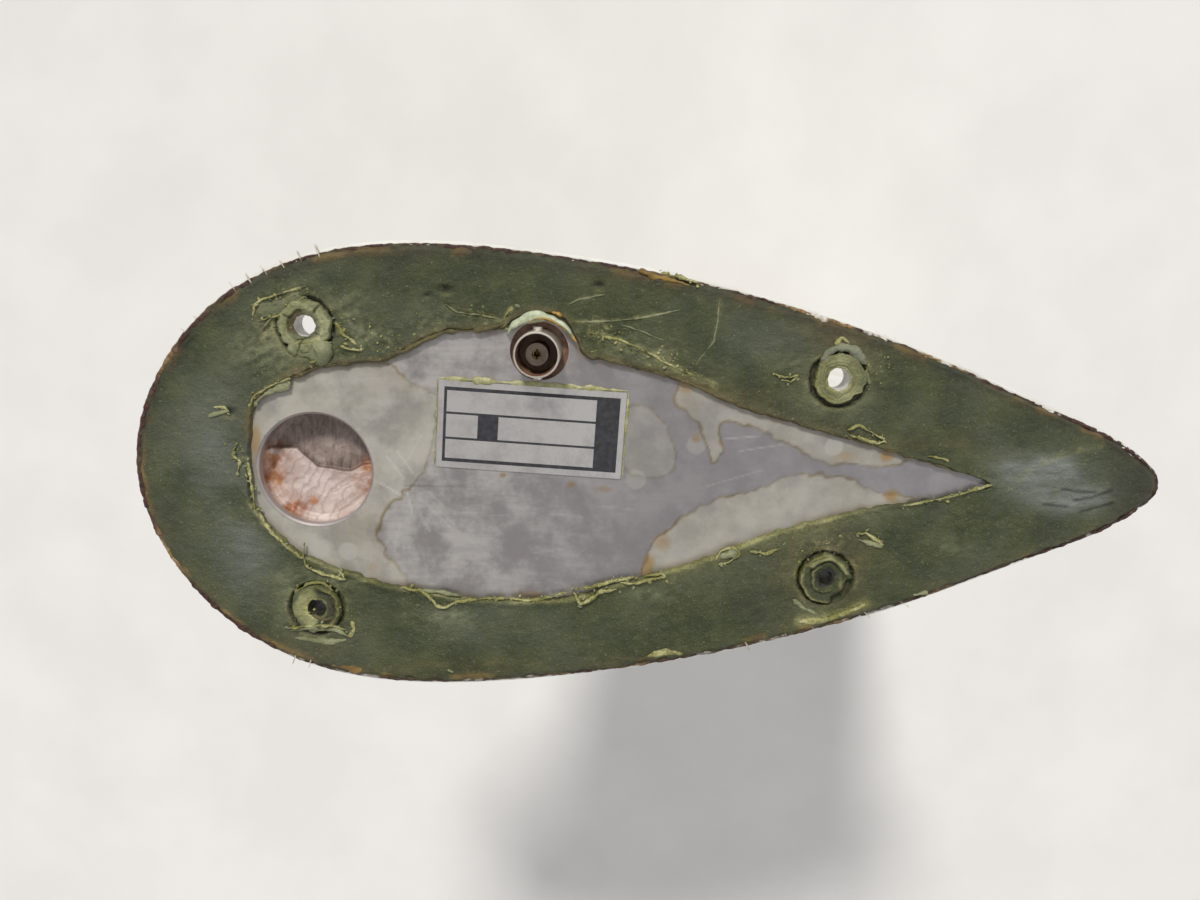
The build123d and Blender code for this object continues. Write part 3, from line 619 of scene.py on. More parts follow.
# Creases and scratches of the bed: half width, depth (below zero for a ridge), how pale it is torn, path
creases = read_table("""
0.35 0.3 0.35  27.3 -36.8  24.7 -35.2  20.3 -34.7  15.4 -33.9  14.1 -32.6
0.3 -0.5 0.7  14.1 -32.2  14.5 -34.4  13.2 -36
0.25 0.08 0.3  0.9 -37.2  -1.3 -38.3  -7 -39.5
0.25 -0.08 0.4  -0.5 -33.6  -6.3 -33.7  -12.4 -34.4  -18.4 -35.4
0.45 -0.12 0.35  -3.6 -31.3  -9.9 -29.9  -15.3 -27.7  -20.9 -24.7  -30.9 -20.4
0.3 0.05 0.2  -31 -39  -30.7 -34.6  -29.6 -29.3  -26.2 -24.8
0.35 0.35 0.2  67.7 -28.8  63.8 -32.4
0.3 -0.2 0.4  66.5 -28.2  62.9 -31.9
0.4 0.1 0.25  -96.5 0.4  -101.4 -4.4  -108.4 -7.3  -115.4 -9.2
0.5 0.12 0  -93.3 0.5  -95.7 -2.4  -96.7 -6.1  -96.8 -9.8
""")
dark_strokes = read_table("""
-107.5 0.9  -111.2 1.4  -114.8 1.5
-110.5 3.4  -114.1 2.7  -118.4 0.9
-104 4.4  -109 4.9
-51.5 -23  -51.7 -19.7
-112 6  -119 3.8
""")
# Gritty places: middle, reach, height of the grit
grit = read_table("""
50 -30 5.5 0.28
61 -35 6 0.16
30 -30 4.5 0.22
40 -28 4.5 0.22
20 -33 5 0.16
-14 -27 4 0.24
-22 -25 4 0.2
-6 -31 4 0.2
57 31 7 0.12
-66 -24 4 0.15
72 -3 3 0.25
-57 17 6 0.12
58 -20 4 0.2
""")
# Tinted places: kind, middle, reach along X and along Y, strength
tints = read_table("""
pale 66 -26 5.6 4.8 0.6
pale 49 -36 4 3.2 0.45
brown 57 -21.5 4.8 1.92 0.7
pale 45 -30 4 2.4 0.35
brown -54 -31 5.6 4 0.45
pale -14 -28 7.2 2.4 0.4
brown -80 -9 6.4 2.4 0.5
brown -40 -18 7.2 2.4 0.45
pale 54 25 4.8 1.6 0.5
pale 62 24 4 4 0.35
brown -57 20 9.6 4.8 0.55
pale -20 27 7.2 2 0.3
brown 60 41 7.2 2.4 0.6
pale 27 33 8 2.8 0.3
brown -40 -40 12.8 1.76 0.5
pale 70 3 2.4 5.6 0.3
brown 20 44.5 17.6 1.6 0.4
pale -84 14 6.4 2.4 0.2
pale -47 -26 3.2 2.4 0.35
pale 30 -34 6.4 3.2 0.3
haze 79 -6 7 12.73 0.45
haze 72 16 6.667 13.33 0.5
haze 25 35 14.286 5 0.28
haze -45 -30 12.5 5 0.25
haze -103 -2.5 7.65 4.14 2.5
haze -110 2 6.3 3.6 2
""")
dents = read_table("""
27.1 -39.9 1.3 0.9
-5.3 -41.3 1.1 0.7
31 -38.6 0.7 0.3
74.4 -13 1.6 0.4
""")
long_tear = points_in("-51.9 32.6  -56.5 32.1  -62 30.2  -66.6 27.9")


def sealant_bed():
    """Torn bed of sealant: a band from the torn edge to the outline, its rows drawn together at both edges.

    It lies on the plate, so it has no underside, and it is open where the bushings come through. Low swells,
    grit, a drop at each edge, a pit under each collar and the photograph's creases and dents make its height.
    """
    count, across = 1000, 88
    opening, pit, pit_level = 4.8, 6.25, -1.15
    inner, outer = bed_rings(count)
    inner = pulled_in(inner, 0.3 * rough(*inner.T, 2.0, 11))
    outer = pulled_in(outer, 1.15 + 0.2 * rough(*outer.T, 2.5, 17))
    share = np.linspace(0, 1, across)
    share = 0.45 * share + 0.275 * (1 - np.cos(np.pi * share))
    x, y = (inner[:, None, k] + (outer - inner)[:, None, k] * share for k in (0, 1))
    width = np.hypot(*(outer - inner).T)[:, None]
    from_inner, from_outer = share * width, (1 - share) * width

    z = 0.07 * rough(x, y, 20, 3) + 0.08 * rough(x, y, 4, 5) + 0.06 * rough(x, y, 1.2, 7)
    z = z - 0.08 * bell(from_inner - 2.8, 1.2) + 0.14 * bell(from_inner - 1.0, 0.8)
    z = z - 0.95 * (1 - smooth(from_inner, 0.0, 0.5 + 0.25 * noise(x, y, 2, 27)))
    z = z - 0.7 * (1 - smooth(from_outer, 0.0, 1.2 + 0.4 * noise(x, y, 3, 29)))

    left, upper, coarse = smooth(y, 5, 9), smooth(-y, 5, 9), rough(x, y, 9, 37)
    torn = left * 0.5 * bell(from_inner - 0.5, 0.55) * patchy(x, y, 3, 31, 0.75, 0.6)
    torn += left * 0.22 * bell(from_inner, 3.2) * smooth(-x, 14, 24)
    torn += 0.5 * bell(distance(x, y, long_tear, closed=False), 1.1)
    brown = upper * 0.75 * bell(from_inner - 0.3, 1.1)
    brown += upper * 0.22 * bell(from_inner, 5) * smooth(-x, 8, 30)
    brown += 0.35 * bell(from_outer, 2.6) * np.clip(0.55 + coarse, 0, 1)
    brown += 0.5 * blob(x, y, -56, 21, 9) + 0.3 * blob(x, y, -57, -32, 8)
    # Painted shade under the rim on the upper side, and darker towards the tail tip.
    dark = 0.45 * bell(from_outer - 1.0, 1.7) * upper + 0.45 * smooth(-x, 114, 122)
    stain = 0.5 * bell(from_outer - 0.8, 1.0) * smooth(rough(x, y, 6, 73), 0.15, 0.6)
    pale, haze = 0 * x, 0 * x
    values = {"torn": torn, "pale": pale, "brown": brown, "haze": haze, "stain": stain, "dark": dark}

    hazy = np.clip(0.75 + 0.7 * coarse, 0.25, 1.2)
    streaky = 0.55 + 0.7 * rough(x + 0.5 * y, 3 * y - 1.5 * x, 3, 75) + 0.5 * noise(x, y, 0.9, 77)
    streaky = np.clip(streaky, 0, 1.3)
    for kind, *place, strength in tints:
        values[kind] += strength * blob(x, y, *place) * (hazy if kind == "haze" else streaky)
    for screw in screws.values():
        away = np.hypot(x - screw[0], y - screw[1])
        radius = away - 0.15 * noise(x, y, 1.6, 41)
        z = np.where(radius < pit, pit_level, z)
        torn += 0.3 * bell(radius - 6.8, 0.5) * patchy(x, y, 2.4, 43, 0.4, 1)
        pale += 0.16 * bell(away - 7.5, 2.5) * patchy(x, y, 3, 53, 0.5, 1)
        # Painted shade: a dark ring in the groove at the edge of each collar's pit.
        dark += 0.5 * bell(radius - 6.2, 0.3)
    for half_width, fall, tear, *path in creases:
        away = distance(x, y, path, closed=False)
        z = z - fall * bell(away, half_width)
        torn += tear * bell(away - half_width * 0.8, half_width) * patchy(x, y, 1.2, 59, 0.6, 0.8)
    for path in dark_strokes:
        dark += 0.7 * bell(distance(x, y, path, closed=False), 0.35)
    for px, py, reach, rise in grit:
        here = blob(x, y, px, py, reach)
        z = z + rise * here * rough(x, y, 1.0, 61)
        torn += 0.3 * here * smooth(noise(x, y, 0.7, 63), 0.35, 0.8)
    for px, py, size, fall in dents:
        spot = blob(x, y, px, py, size, size / 1.7)
        z = z - fall * spot
        # Painted shade in each dent.
        dark += 0.85 * spot
        torn += 0.3 * blob(x, y, px, py + size * 0.9, size * 0.8, size * 0.4)

    values = shares(values, columns=(1, 1))
    feet = [np.column_stack([ring, np.full(count, PLATE_TOP)])[:, None] for ring in (inner, outer)]
    points = np.concatenate([feet[0], np.stack([x, y, z], axis=-1), feet[1]], axis=1)
    quads = outward(points, grid_quads(count, across + 2, closed_u=True, closed_v=True))
    middle = points.reshape(-1, 3)[quads].mean(axis=1)[:, :2]
    from_screw = np.min([np.hypot(*(middle - screw).T) for screw in screws.values()], axis=0)
    underside = np.isin(quads % (across + 2), (0, across + 1)).all(axis=1)
    quads = quads[(from_screw > opening) & ~underside]
    add_piece("sealant_bed_torn", "sealant", ["sealant_bed"], points, quads, sealant, values)


sealant_bed()


def flat_patch(polygon, holes, step):
    """Places and faces of a sheet: square cells inside the polygon, their corners drawn onto round holes."""
    low, high = polygon.min(axis=0) - step, polygon.max(axis=0) + step
    xs, ys = np.arange(low[0], high[0], step), np.arange(low[1], high[1], step)
    x, y = np.meshgrid(xs, ys, indexing="ij")
    mid_x, mid_y = x[:-1, :-1] + step / 2, y[:-1, :-1] + step / 2
    keep = inside(mid_x, mid_y, polygon)
    for hole_x, hole_y, radius in holes:
        keep &= np.hypot(mid_x - hole_x, mid_y - hole_y) > radius
    quads = grid_quads(len(xs), len(ys)).reshape(len(xs) - 1, len(ys) - 1, 4)[keep]
    used, quads = np.unique(quads, return_inverse=True)
    x, y = x.ravel()[used], y.ravel()[used]
    for hole_x, hole_y, radius in holes:
        away = np.hypot(x - hole_x, y - hole_y)
        near, pull = away < radius + 0.6 * step, radius / np.maximum(away, 1e-6)
        x = np.where(near, hole_x + (x - hole_x) * pull, x)
        y = np.where(near, hole_y + (y - hole_y) * pull, y)
    return x, y, quads.reshape(-1, 4)


# Films left on the plate: strength and outline
films = (
    (0.9, """
67 -16.6  58.6 -21.1  48.8 -23.4  40 -24.2  34.8 -19.3  29.6 -17.3  30.2 -9  32 -1  37 5  40.3 7.9
41.8 11  43 14.6  41.8 18  39.8 21.4  36.7 26.3  44 27  62 21  73 9  73 -9
"""),
    (0.8, """
-25.3 -22.5  -22.4 -18.3  -22.5 -15.4  -25.5 -14  -27.8 -11.8  -30.7 -3.7  -32.8 -5.3  -32.5 -11.9
-40.8 -11  -54.3 -4.1  -60.8 -3.6  -69.6 -3.1  -72.8 -4.5  -75 -7  -55 -13  -40 -17
"""),
    (0.85, """
-16.8 24.4  -17.7 16.6  -24.2 9.6  -32.8 4.8  -41.5 2.4  -47.9 -0.9  -61 -0.7  -63.8 1.5  -67.9 3
-72.3 2.9  -75 5  -60 10  -40 17  -28 22
"""),
    (0.45, """
-11 -15  -16 -15.8  -20 -12  -22.5 -6  -22 -1  -16 0.8  -11.5 -2  -11 -8
"""),
)
# Round marks: middle and radius
discs = read_table("""
56.3 18.1 2.1
49.9 18.6 2
-14.2 0.9 2.1
-27.3 -7.2 2
-57.3 -7.3 1.9
""")
# Tanned places on the films: middle, reach along X and along Y, strength
tanned = read_table("""
45.5 14 4.95 6.3 0.5
37.5 -20.5 5.4 3.6 0.45
69 -4 1.8 7.2 0.5
-25 -17 2.7 4.5 0.4
""")
# Stains: middle, size along X and along Y, strength
stains = read_table("""
-69 -5.2 2 1.8 1
-70.8 3.4 2 1.8 1
-60 -5.2 3 1.6 0.5
-17.4 20.5 1.6 3 0.9
-20.2 15 2.2 2.6 0.6
69.5 -6 1.4 5 0.8
44.4 22.4 1.4 1.6 0.4
-24.6 -20 1.8 2.2 0.8
15 0.4 0.9 0.6 0.9
0 2.2 1.1 0.8 0.8
-27.3 -8.6 1.2 1 0.7
-7.5 3.2 2.4 1 0.5
9 28 5 1.2 0.6
""")
# Scratches: both ends and strength
scratches = read_table("""
42.5 2.5 37.5 5.5 0.6
36.4 4.5 35.2 10.2 0.65
33.6 6 27 12.5 0.45
38.2 12.5 39.6 18.5 0.35
40.6 -3.2 36.9 1.6 0.5
38.4 -4.6 34.9 0.4 0.45
31.5 4.5 28 8.2 0.4
33.8 9.4 31.4 13.6 0.45
29.8 -4 31.9 0.6 0.3
24 14 19 18.6 0.25
8 18 1 17 0.2
-33 -8.6 -41 -9.4 0.35
5 9 -2.5 9.6 0.2
24 9 13 9.8 0.15
12 12.5 -1 13.6 0.15
-30 2 -42 -1.8 0.2
-37 -6 -46 -7.6 0.3
-4 7 -14 7.6 0.12
33 -8 36.5 -2 0.2
""")


def plate_face():
    """The plate's bare face: low films in their outlines, discs, stains and scratches, each with a value."""
    port_hole, jack_hole, under_tear, step = 13.0, 6.5, 0.8, 0.4
    face_outline = pulled_in(window, np.full(len(window), -under_tear))
    x, y, quads = flat_patch(face_outline, ((*port, port_hole), (*jack, jack_hole)), step)
    shake_x, shake_y = x + 0.5 * rough(x, y, 2.2, 81), y + 0.5 * rough(x, y, 2.2, 83)
    film, edge = 0 * x, 0 * x
    for strength, shape in films:
        away = depth(shake_x, shake_y, rounded(points_in(shape), 8))
        film = np.maximum(film, strength * smooth(away, -0.1, 0.35))
        edge = np.maximum(edge, strength * bell(away - 0.1, 0.32) * patchy(x, y, 6, 87, 0.75, 0.5))
    front = smooth(x, 26, 50) * (1 - 0.5 * smooth(-y, -8, 0) * smooth(-x, -50, -38))
    strong = 0.8 + 0.2 * np.maximum(front, smooth(-x, -20, 25))
    film = film * patchy(x, y, 5, 89, 0.85, 0.25, octaves=3) * strong
    tone = 0.8 * bell(distance(x, y, window), 0.9) * patchy(x, y, 4, 91, 0.6, 0.6, octaves=3)
    tone = tone + sum(strength * film * blob(x, y, *place) for *place, strength in tanned)
    disc, stain, scratch = 0 * x, 0 * x, 0 * x
    for px, py, radius in discs:
        past = np.hypot(x - px, y - py) - radius
        # Painted highlight: a thin brighter ring at each disc's rim.
        disc = np.maximum(disc, 0.55 * (1 - smooth(past, -0.25, 0.1)) + 0.35 * bell(past, 0.2))
    for px, py, size_x, size_y, strength in stains:
        away = np.hypot((x - px) / size_x, (y - py) / size_y) + 0.25 * rough(x, y, 2.2, 93)
        stain = np.maximum(stain, 0.8 * strength * (1 - smooth(away, 0.3, 1.2)))
    for *ends, strength in scratches:
        scratch = np.maximum(scratch, strength * bell(distance(x, y, ends, closed=False), 0.16))
    dark = 0.35 * bell(distance(x, y, (36.6, 3.2, 22.4, 3.0), closed=False), 0.2)
    z = PLATE_TOP + 0.02 + 0.07 * film + 0.05 * disc + 0.05 * stain
    # Painted reflection: the bare metal is darker towards the tail.
    dull = 0.75 * smooth(-x, -35, 30)
    names = ("film", "edge", "tone", "disc", "stain", "scratch", "dark", "dull")
    values = dict(zip(names, np.clip((film, edge, tone, disc, stain, scratch, dark, dull), 0, 1)))
    add_piece("plate_face_residue", "plate_metal", [], np.column_stack([x, y, z]), quads, residue, values)


plate_face()


def shape_front_right(u, v, r):
    """A kerb round the hole, a brown recess on its nose side and a rough top."""
    recess = smooth(u, 0.0, 1.2) * smooth(-v, -2.5, -1.0)
    ridge = v - 0.25 * u
    cut = sum(
        bell(u * sin + v * cos, 0.22) * smooth(u * cos - v * sin, 2.8, 3.6)
        for cos, sin in ((0.9, 0.44), (-0.64, 0.77), (0.2, -0.98))
    )
    fold = bell(ridge - 3.4, 0.35) * smooth(-abs(u + 0.4), -3.2, -2.4)
    z = 0.42 + 0.28 * bell(r - 4.5, 0.7) - recess * 0.5 * (1 - smooth(r, 3.3, 3.9))
    z = z - 0.15 * (1 - smooth(r, 2.6, 3.2)) + 0.2 * rough(u, v, 1.3, 201) - 0.6 * cut
    z = z - 0.4 * bell(ridge - 2.75, 0.3) * smooth(-abs(u + 0.4), -3.0, -2.4) + 0.3 * fold
    torn = 0.25 * bell(r - 5.0, 0.4) + 0.5 * fold + 0.45 * bell(r - 3.9, 0.25)
    brown = recess * (1 - smooth(r, 3.5, 4.0))
    # Painted shade: the cuts are darkened.
    return z, {"pale": 0.95 * bell(r - 4.4, 1.2) + 0.25, "brown": brown, "torn": torn, "dark": 0.5 * cut}


def shape_front_left(u, v, r):
    """A flat smear on the nose side and, on the other, a hollow with a curled lip round it."""
    away = smooth(-u, -0.6, 0.6)
    near = 1 - away
    flat = 0.45 + 0.08 * rough(u, v, 2, 203) - 0.2 * (1 - smooth(r, 2.3, 2.7))
    curl = 0.05 + 0.85 * bell(r - 5.1 - 0.3 * np.sin(2 * v), 0.5) + 0.25 * bell(r - 2.9, 0.4)
    torn = near * 0.45 * (1 - smooth(r, 4.6, 5.0)) + away * 0.5 * bell(r - 5.1, 0.6)
    torn = torn + 0.5 * bell(r - 2.4, 0.25)
    # Painted shade in the hollow on the tail side and along the outer edge on the nose side.
    dark = 0.6 * away * bell(r - 4.0, 0.5) + 0.35 * bell(r - 5.4, 0.2) * near
    return flat * near + curl * away, {"pale": 0.45 * near, "torn": torn, "dark": dark}


def shape_rear_right(u, v, r):
    """A neat ring: a bevel, a plateau with two cut lines, and a gap round its lower nose side, painted dark
    as shade.
    """
    edge = 5.15 + 0.9 * (1 - smooth(u * 0.7 + v, -1.5, 1.0))
    fall = smooth(r, edge - 0.35, edge)
    z = 0.2 + 0.42 * smooth(r, 2.6, 3.4) - 0.16 * bell(r - 3.7, 0.15) - 0.1 * bell(r - 4.4, 0.12)
    z = np.where(r > edge, -1.0, z * (1 - fall * 0.5)) + 0.04 * rough(u, v, 1.5, 205)
    torn = 0.75 * bell(r - 2.75, 0.25) + 0.4 * bell(r - 4.2, 0.9) + 0.5 * bell(r - edge + 0.25, 0.2)
    # Painted shade in the gap past the ring's edge.
    pale, dark = 0.5 * (1 - smooth(r, edge - 0.3, edge)), 0.6 * smooth(r, edge, edge + 0.1)
    return z, {"torn": torn, "pale": pale, "dark": dark}


def shape_rear_left(u, v, r):
    """A bowl of sealant: a groove, a rim broken open on the tail side and a lip on its upper side, with
    painted shade in the groove, the hole and the broken rim.
    """
    nose_side, low = smooth(u, -2.5, 0.5), smooth(u + 0.5 * v, -0.5, 1.5)
    lip = bell(r - 4.4, 0.6) * smooth(-v - 0.2 * u, 0.8, 2.2)
    fold = blob(u, v, -3.6, 1.8, 0.7, 1.4)
    broken = smooth(-u, 1.2, 2.2) * smooth(v, 0.2, 1.4) * smooth(r, 4.0, 4.5)
    z = 0.42 * smooth(r, 1.8, 3.0) - 0.35 * bell(r - 3.6, 0.25) * low + 0.45 * bell(r - 5.35, 0.3) * nose_side
    z = z + 0.8 * lip - 0.45 * bell(r - 3.5, 0.3) * smooth(-v, 0.5, 2.0) + 0.5 * fold - 1.3 * broken
    z = z + 0.16 * rough(u, v, 1.3, 207)
    # Painted highlight: the inner ring on the nose side towards +Y and the lip on the upper side take torn
    # colour.
    torn = 0.65 * bell(r - 5.35, 0.28) * nose_side + 0.4 * bell(r - 3.15, 0.2) * low + 0.45 * lip + 0.5 * fold
    # Painted shade in the groove, the hole and the broken rim.
    dark = 0.5 * bell(r - 3.65, 0.25) + 0.95 * (1 - smooth(r, 1.8, 2.4)) + 0.5 * broken
    # Painted highlight: the lip on the upper side is laid on pale.
    return z, {"torn": torn, "pale": 0.6 * lip, "dark": dark}


def collar(name, number, hole, shape, lining=0.0):
    """Torn ring of sealant round a screw hole: rows from the hole out over the bushing's rim, on a flat foot.

    Where a lining radius is given, a funnel lines the bore, painted dark as shade, with a hole of that radius
    at its lower end.
    """
    count, rows, top, foot, funnel_end = 192, 36, 0.01, -1.17, -8.0
    cos, sin = circle(count)
    near = hole * (1 + 0.08 * noise(3 * cos, 3 * sin, 1, 101 + number))
    far = 5.75 + 0.35 * rough(4 * cos, 4 * sin, 1, 103 + number)
    cos, sin, near, far = (column[:, None] for column in (cos, sin, near, far))
    r = near + (far - near) * np.linspace(0, 1, rows)
    u, v = r * cos, r * sin
    sway = 0.4 * rough(u + 9 * number, v, 2.4, 105 + number)
    z, values = shape(u + sway, v - sway, r + sway)
    z = z + 0.06 * rough(u + 9 * number, v, 0.9, 107 + number)
    z = np.where(r < 3.6, np.clip(z, 0.04, 1), np.clip(z, -1.1, 1.1))
    z = z - 0.5 * (1 - smooth(far - r, 0.0, 0.35))
    ends = [(far, foot), (BUSHING_RADIUS, foot), (BUSHING_RADIUS, top)]
    if lining:
        ends += [(BORE_RADIUS, top), (BORE_RADIUS, funnel_end), (lining, funnel_end)]
    flat = 0 * near
    radii = np.hstack([near, r] + [flat + radius for radius, _ in ends])
    z = np.hstack([flat + top, z] + [flat + level for _, level in ends])
    values = shares(values, columns=(1, len(ends)))
    if lining:
        # Painted shade: the hole's rim and the funnel down the bore are dark.
        values["dark"][:, 0], values["dark"][:, -3:] = 0.8, 1.0
    points = np.stack([screws[name][0] + radii * cos, screws[name][1] + radii * sin, z], axis=-1)
    quads = outward(points, grid_quads(count, rows + 1 + len(ends), True, True))
    node = f"sealant_collar_{name}"
    add_piece(f"torn_collar_{name}", "collar_sealant", [node], points, quads, sealant, values)


collar("front_right", 0, 2.3, shape_front_right)
collar("front_left", 1, 2.1, shape_front_left, 1.25)
collar("rear_right", 2, 2.45, shape_rear_right)
collar("rear_left", 3, 1.5, shape_rear_left, 0.9)

# Ridges and flaps of sealant: colour, width, height, foot, path
fragments = read_table("""
faint 2.6 0.16 0  67.6 -34.3  63.5 -35.6  59.5 -37.4  56.9 -38.6
torn 0.35 0.4 0.1  68.2 -33  67.6 -36  62.2 -38.3  56.6 -39.9
torn 0.3 0.35 0.1  67.3 -32.4  61.9 -34  58.4 -36.6  56 -38.4
pale 3.3 0.95 0  60.8 -27.6  57.6 -26  54.6 -25.7  51.4 -27.9
torn 0.5 0.55 0.1  51.4 -28.2  53.2 -25.2  56.3 -23.6
torn 0.5 0.4 0.1  50.5 -32.8  49.1 -30.2  46.2 -28
torn 0.5 0.45 0.1  49.8 -27.5  47.6 -26.9  45.4 -26.6
pale 2.2 0.4 -0.15  69.2 -14.2  66.8 -16.4  63.2 -18.4  60.8 -19.4
torn 0.35 0.4 0.1  69.8 -13.2  69 -16  65.4 -18.4  60.6 -20.6
pale 0.9 0.6 0.05  79.1 -11.6  77 -12.4  74.5 -13.1
torn 0.4 0.5 0.05  77.6 -13.6  75.4 -13.9  74.1 -12.6
torn 0.4 0.35 0.1  73.3 -5.3  74.2 -3.4  72.5 -1.6  73.7 1.2
torn 0.5 0.45 -0.1  71 -2  70.5 2.9  69.9 6.7  70.1 9
torn 0.5 0.5 -0.1  69.6 8.8  67 13.3  63.9 16.6  60.8 19.4  59.7 19.7  59.3 17
torn 0.5 0.55 0  59.7 19.7  59 21.6  56.7 23  53.5 24.1  50.5 24.8  51.8 22.6
torn 0.5 0.5 0.05  38 26.4  33.9 27  31.6 28.6  28.8 31  25.5 29.5  20.8 28.9
pale 0.9 0.45 -0.1  33.9 27  30.1 27.3  24.5 28.2
torn 0.45 0.4 -0.05  20.8 28.9  14.2 28.5  8.6 28.9  3 27.6  -0.8 26.5
torn 0.55 0.6 0.1  -0.8 26.5  -2.2 29.2  -4.6 28.4  -6.9 26.6  -10.6 25.8
torn 0.5 0.45 -0.05  -1.2 26  -4.5 25.6  -10.1 23.9  -14.7 22.8
torn 0.45 0.5 0.1  -11.2 24.3  -14 24.4  -18.7 23.2  -21.6 22.7
torn 0.5 0.45 0  -16.8 22.6  -20.5 21.9  -21.6 22.9
pale 2 0.4 0.05  -33.3 17.6  -35.3 17.3  -37.4 16.8
torn 0.45 0.5 0.1  -32.3 18.9  -33.3 16.6  -36.5 15.6  -38 17
torn 0.4 0.5 0.1  -38 17  -35.3 19  -33 19.6
torn 0.6 0.4 0.1  -39.8 16.5  -43.5 16.9  -46.7 15.6
torn 0.4 0.3 -0.05  -72 5.6  -76.8 4.6  -84 2.9  -92.8 0
torn 0.45 0.6 0.1  -63.4 12  -65.4 11.6  -69.5 14.4
pale 0.6 0.45 0.1  -63.8 13.1  -66.5 14  -69.4 14.7
torn 0.45 0.5 0.1  -59.7 -11.4  -61.9 -12.4  -64.7 -11  -68 -9.3
torn 0.5 0.45 0.1  -60 -10.3  -63 -9.4  -66.6 -8.6  -68.2 -9.2
torn 0.9 0.35 0  -77.3 -5.9  -79.5 -5.8  -82.3 -4.9
torn 0.35 0.35 0.05  -43.2 -23.3  -45.5 -22.5  -48.6 -23
torn 0.35 0.3 0.05  -44.6 -22  -46.9 -21.5  -48.4 -22.7
grey 2 0.85 0  -53 -25.9  -54.4 -28  -57.1 -29.2  -60.5 -28.3  -62.8 -25.6
torn 0.7 0.8 0.1  -55.6 -29.6  -57.2 -31.2  -58.9 -30
pale 0.9 0.5 0  -62.8 -24.3  -63.9 -21.3
torn 0.5 0.45 0  62.1 28.3  59.2 26.2  55.4 25.7  53.2 27.6
pale 1 0.7 0  63.5 37.2  59.6 36.5  55.8 36.2  52.1 37  49.8 38.5
torn 0.35 0.75 0.1  64 36.6  59 35.9  54 35.7  50.6 36.8
pale 1.3 0.45 0  62.6 38.9  57.9 39.5  53.1 39.6  50.7 39
torn 0.9 0.4 0.05  49.4 34.6  48.8 36.6  50 38.8
pale 1.4 0.4 0  -50.2 27.5  -52.6 29.4  -55.5 30.8
torn 0.9 0.3 0  -55.5 32.4  -59.2 31.8  -62 30.2
stain 1.5 0.3 -0.1  -13.6 -44.6  -16.8 -43.3  -20.4 -42.7  -24.5 -41.6
torn 0.5 0.35 -0.1  -18.4 -44.2  -22.4 -43.2  -26.4 -42.2
torn 1.6 0.4 -0.2  -17.6 41.9  -22 40.6  -26.2 41
pale 1.3 0.6 -0.2  -76.9 26  -80.3 25.1
pale 0.8 0.6 0  27.8 45.9  26.4 46.6
stain 1.3 0.3 -0.3  54.5 45.2  51 46  47 46.9
brown 0.9 0.35 -0.1  42.5 -24.3  38.6 -25.9  35.5 -26.9  31.9 -28.9  26.5 -31.1  21.2 -31.3
brown 0.8 0.35 0  21.2 -31.3  17.5 -32  14.6 -33
brown 0.6 0.25 -0.1  60.2 -20.6  54.3 -23.1  46.7 -24.2
torn 0.35 0.5 0  14.1 -32.2  14.6 -34.4  13.2 -36.2
pale 0.3 0.22 0  27.3 -36.8  24.7 -35.2  20.3 -34.7  15.4 -33.9
pale 0.25 0.16 0  0.9 -37.2  -1.3 -38.3  -7 -39.5
pale 0.28 0.2 0  -0.5 -33.6  -6.3 -33.7  -12.4 -34.4  -18.4 -35.4  -23 -36.6
torn 0.35 0.26 0  -3.6 -31.3  -9.9 -29.9  -15.3 -27.7  -20.9 -24.7  -26.3 -22.6
pale 0.25 0.12 0  -31 -39  -30.7 -34.6  -29.6 -29.3  -26.2 -24.8
pale 0.22 0.14 0  -10 -33.2  -15.3 -31.6  -19.5 -29.9
torn 1.3 0.3 -0.05  -51.9 32.8  -56.5 32.5  -62 30.7  -66.6 28.4
brown 1 0.4 0  58.5 33.5  55 34.4  51.5 33.2
pale 0.4 0.3 0  66.3 -30.6  64.4 -33  62.9 -34.2
brown 0.5 0.2 -0.1  -2.6 -26.9  -14.5 -24  -25.3 -21  -33 -17.5  -40.7 -14.8
brown 0.5 0.18 -0.1  -53.8 -11.3  -64.9 -8.3  -71.5 -6.4  -82.7 -3.2
""")


def crumb(shade, x, y, size, heading, wide, high):
    """A row like those of the ridges, for a short piece of sealant that starts at a point."""
    return shade, wide, high, 0.0, x, y, x + size * math.cos(heading), y + size * math.sin(heading)


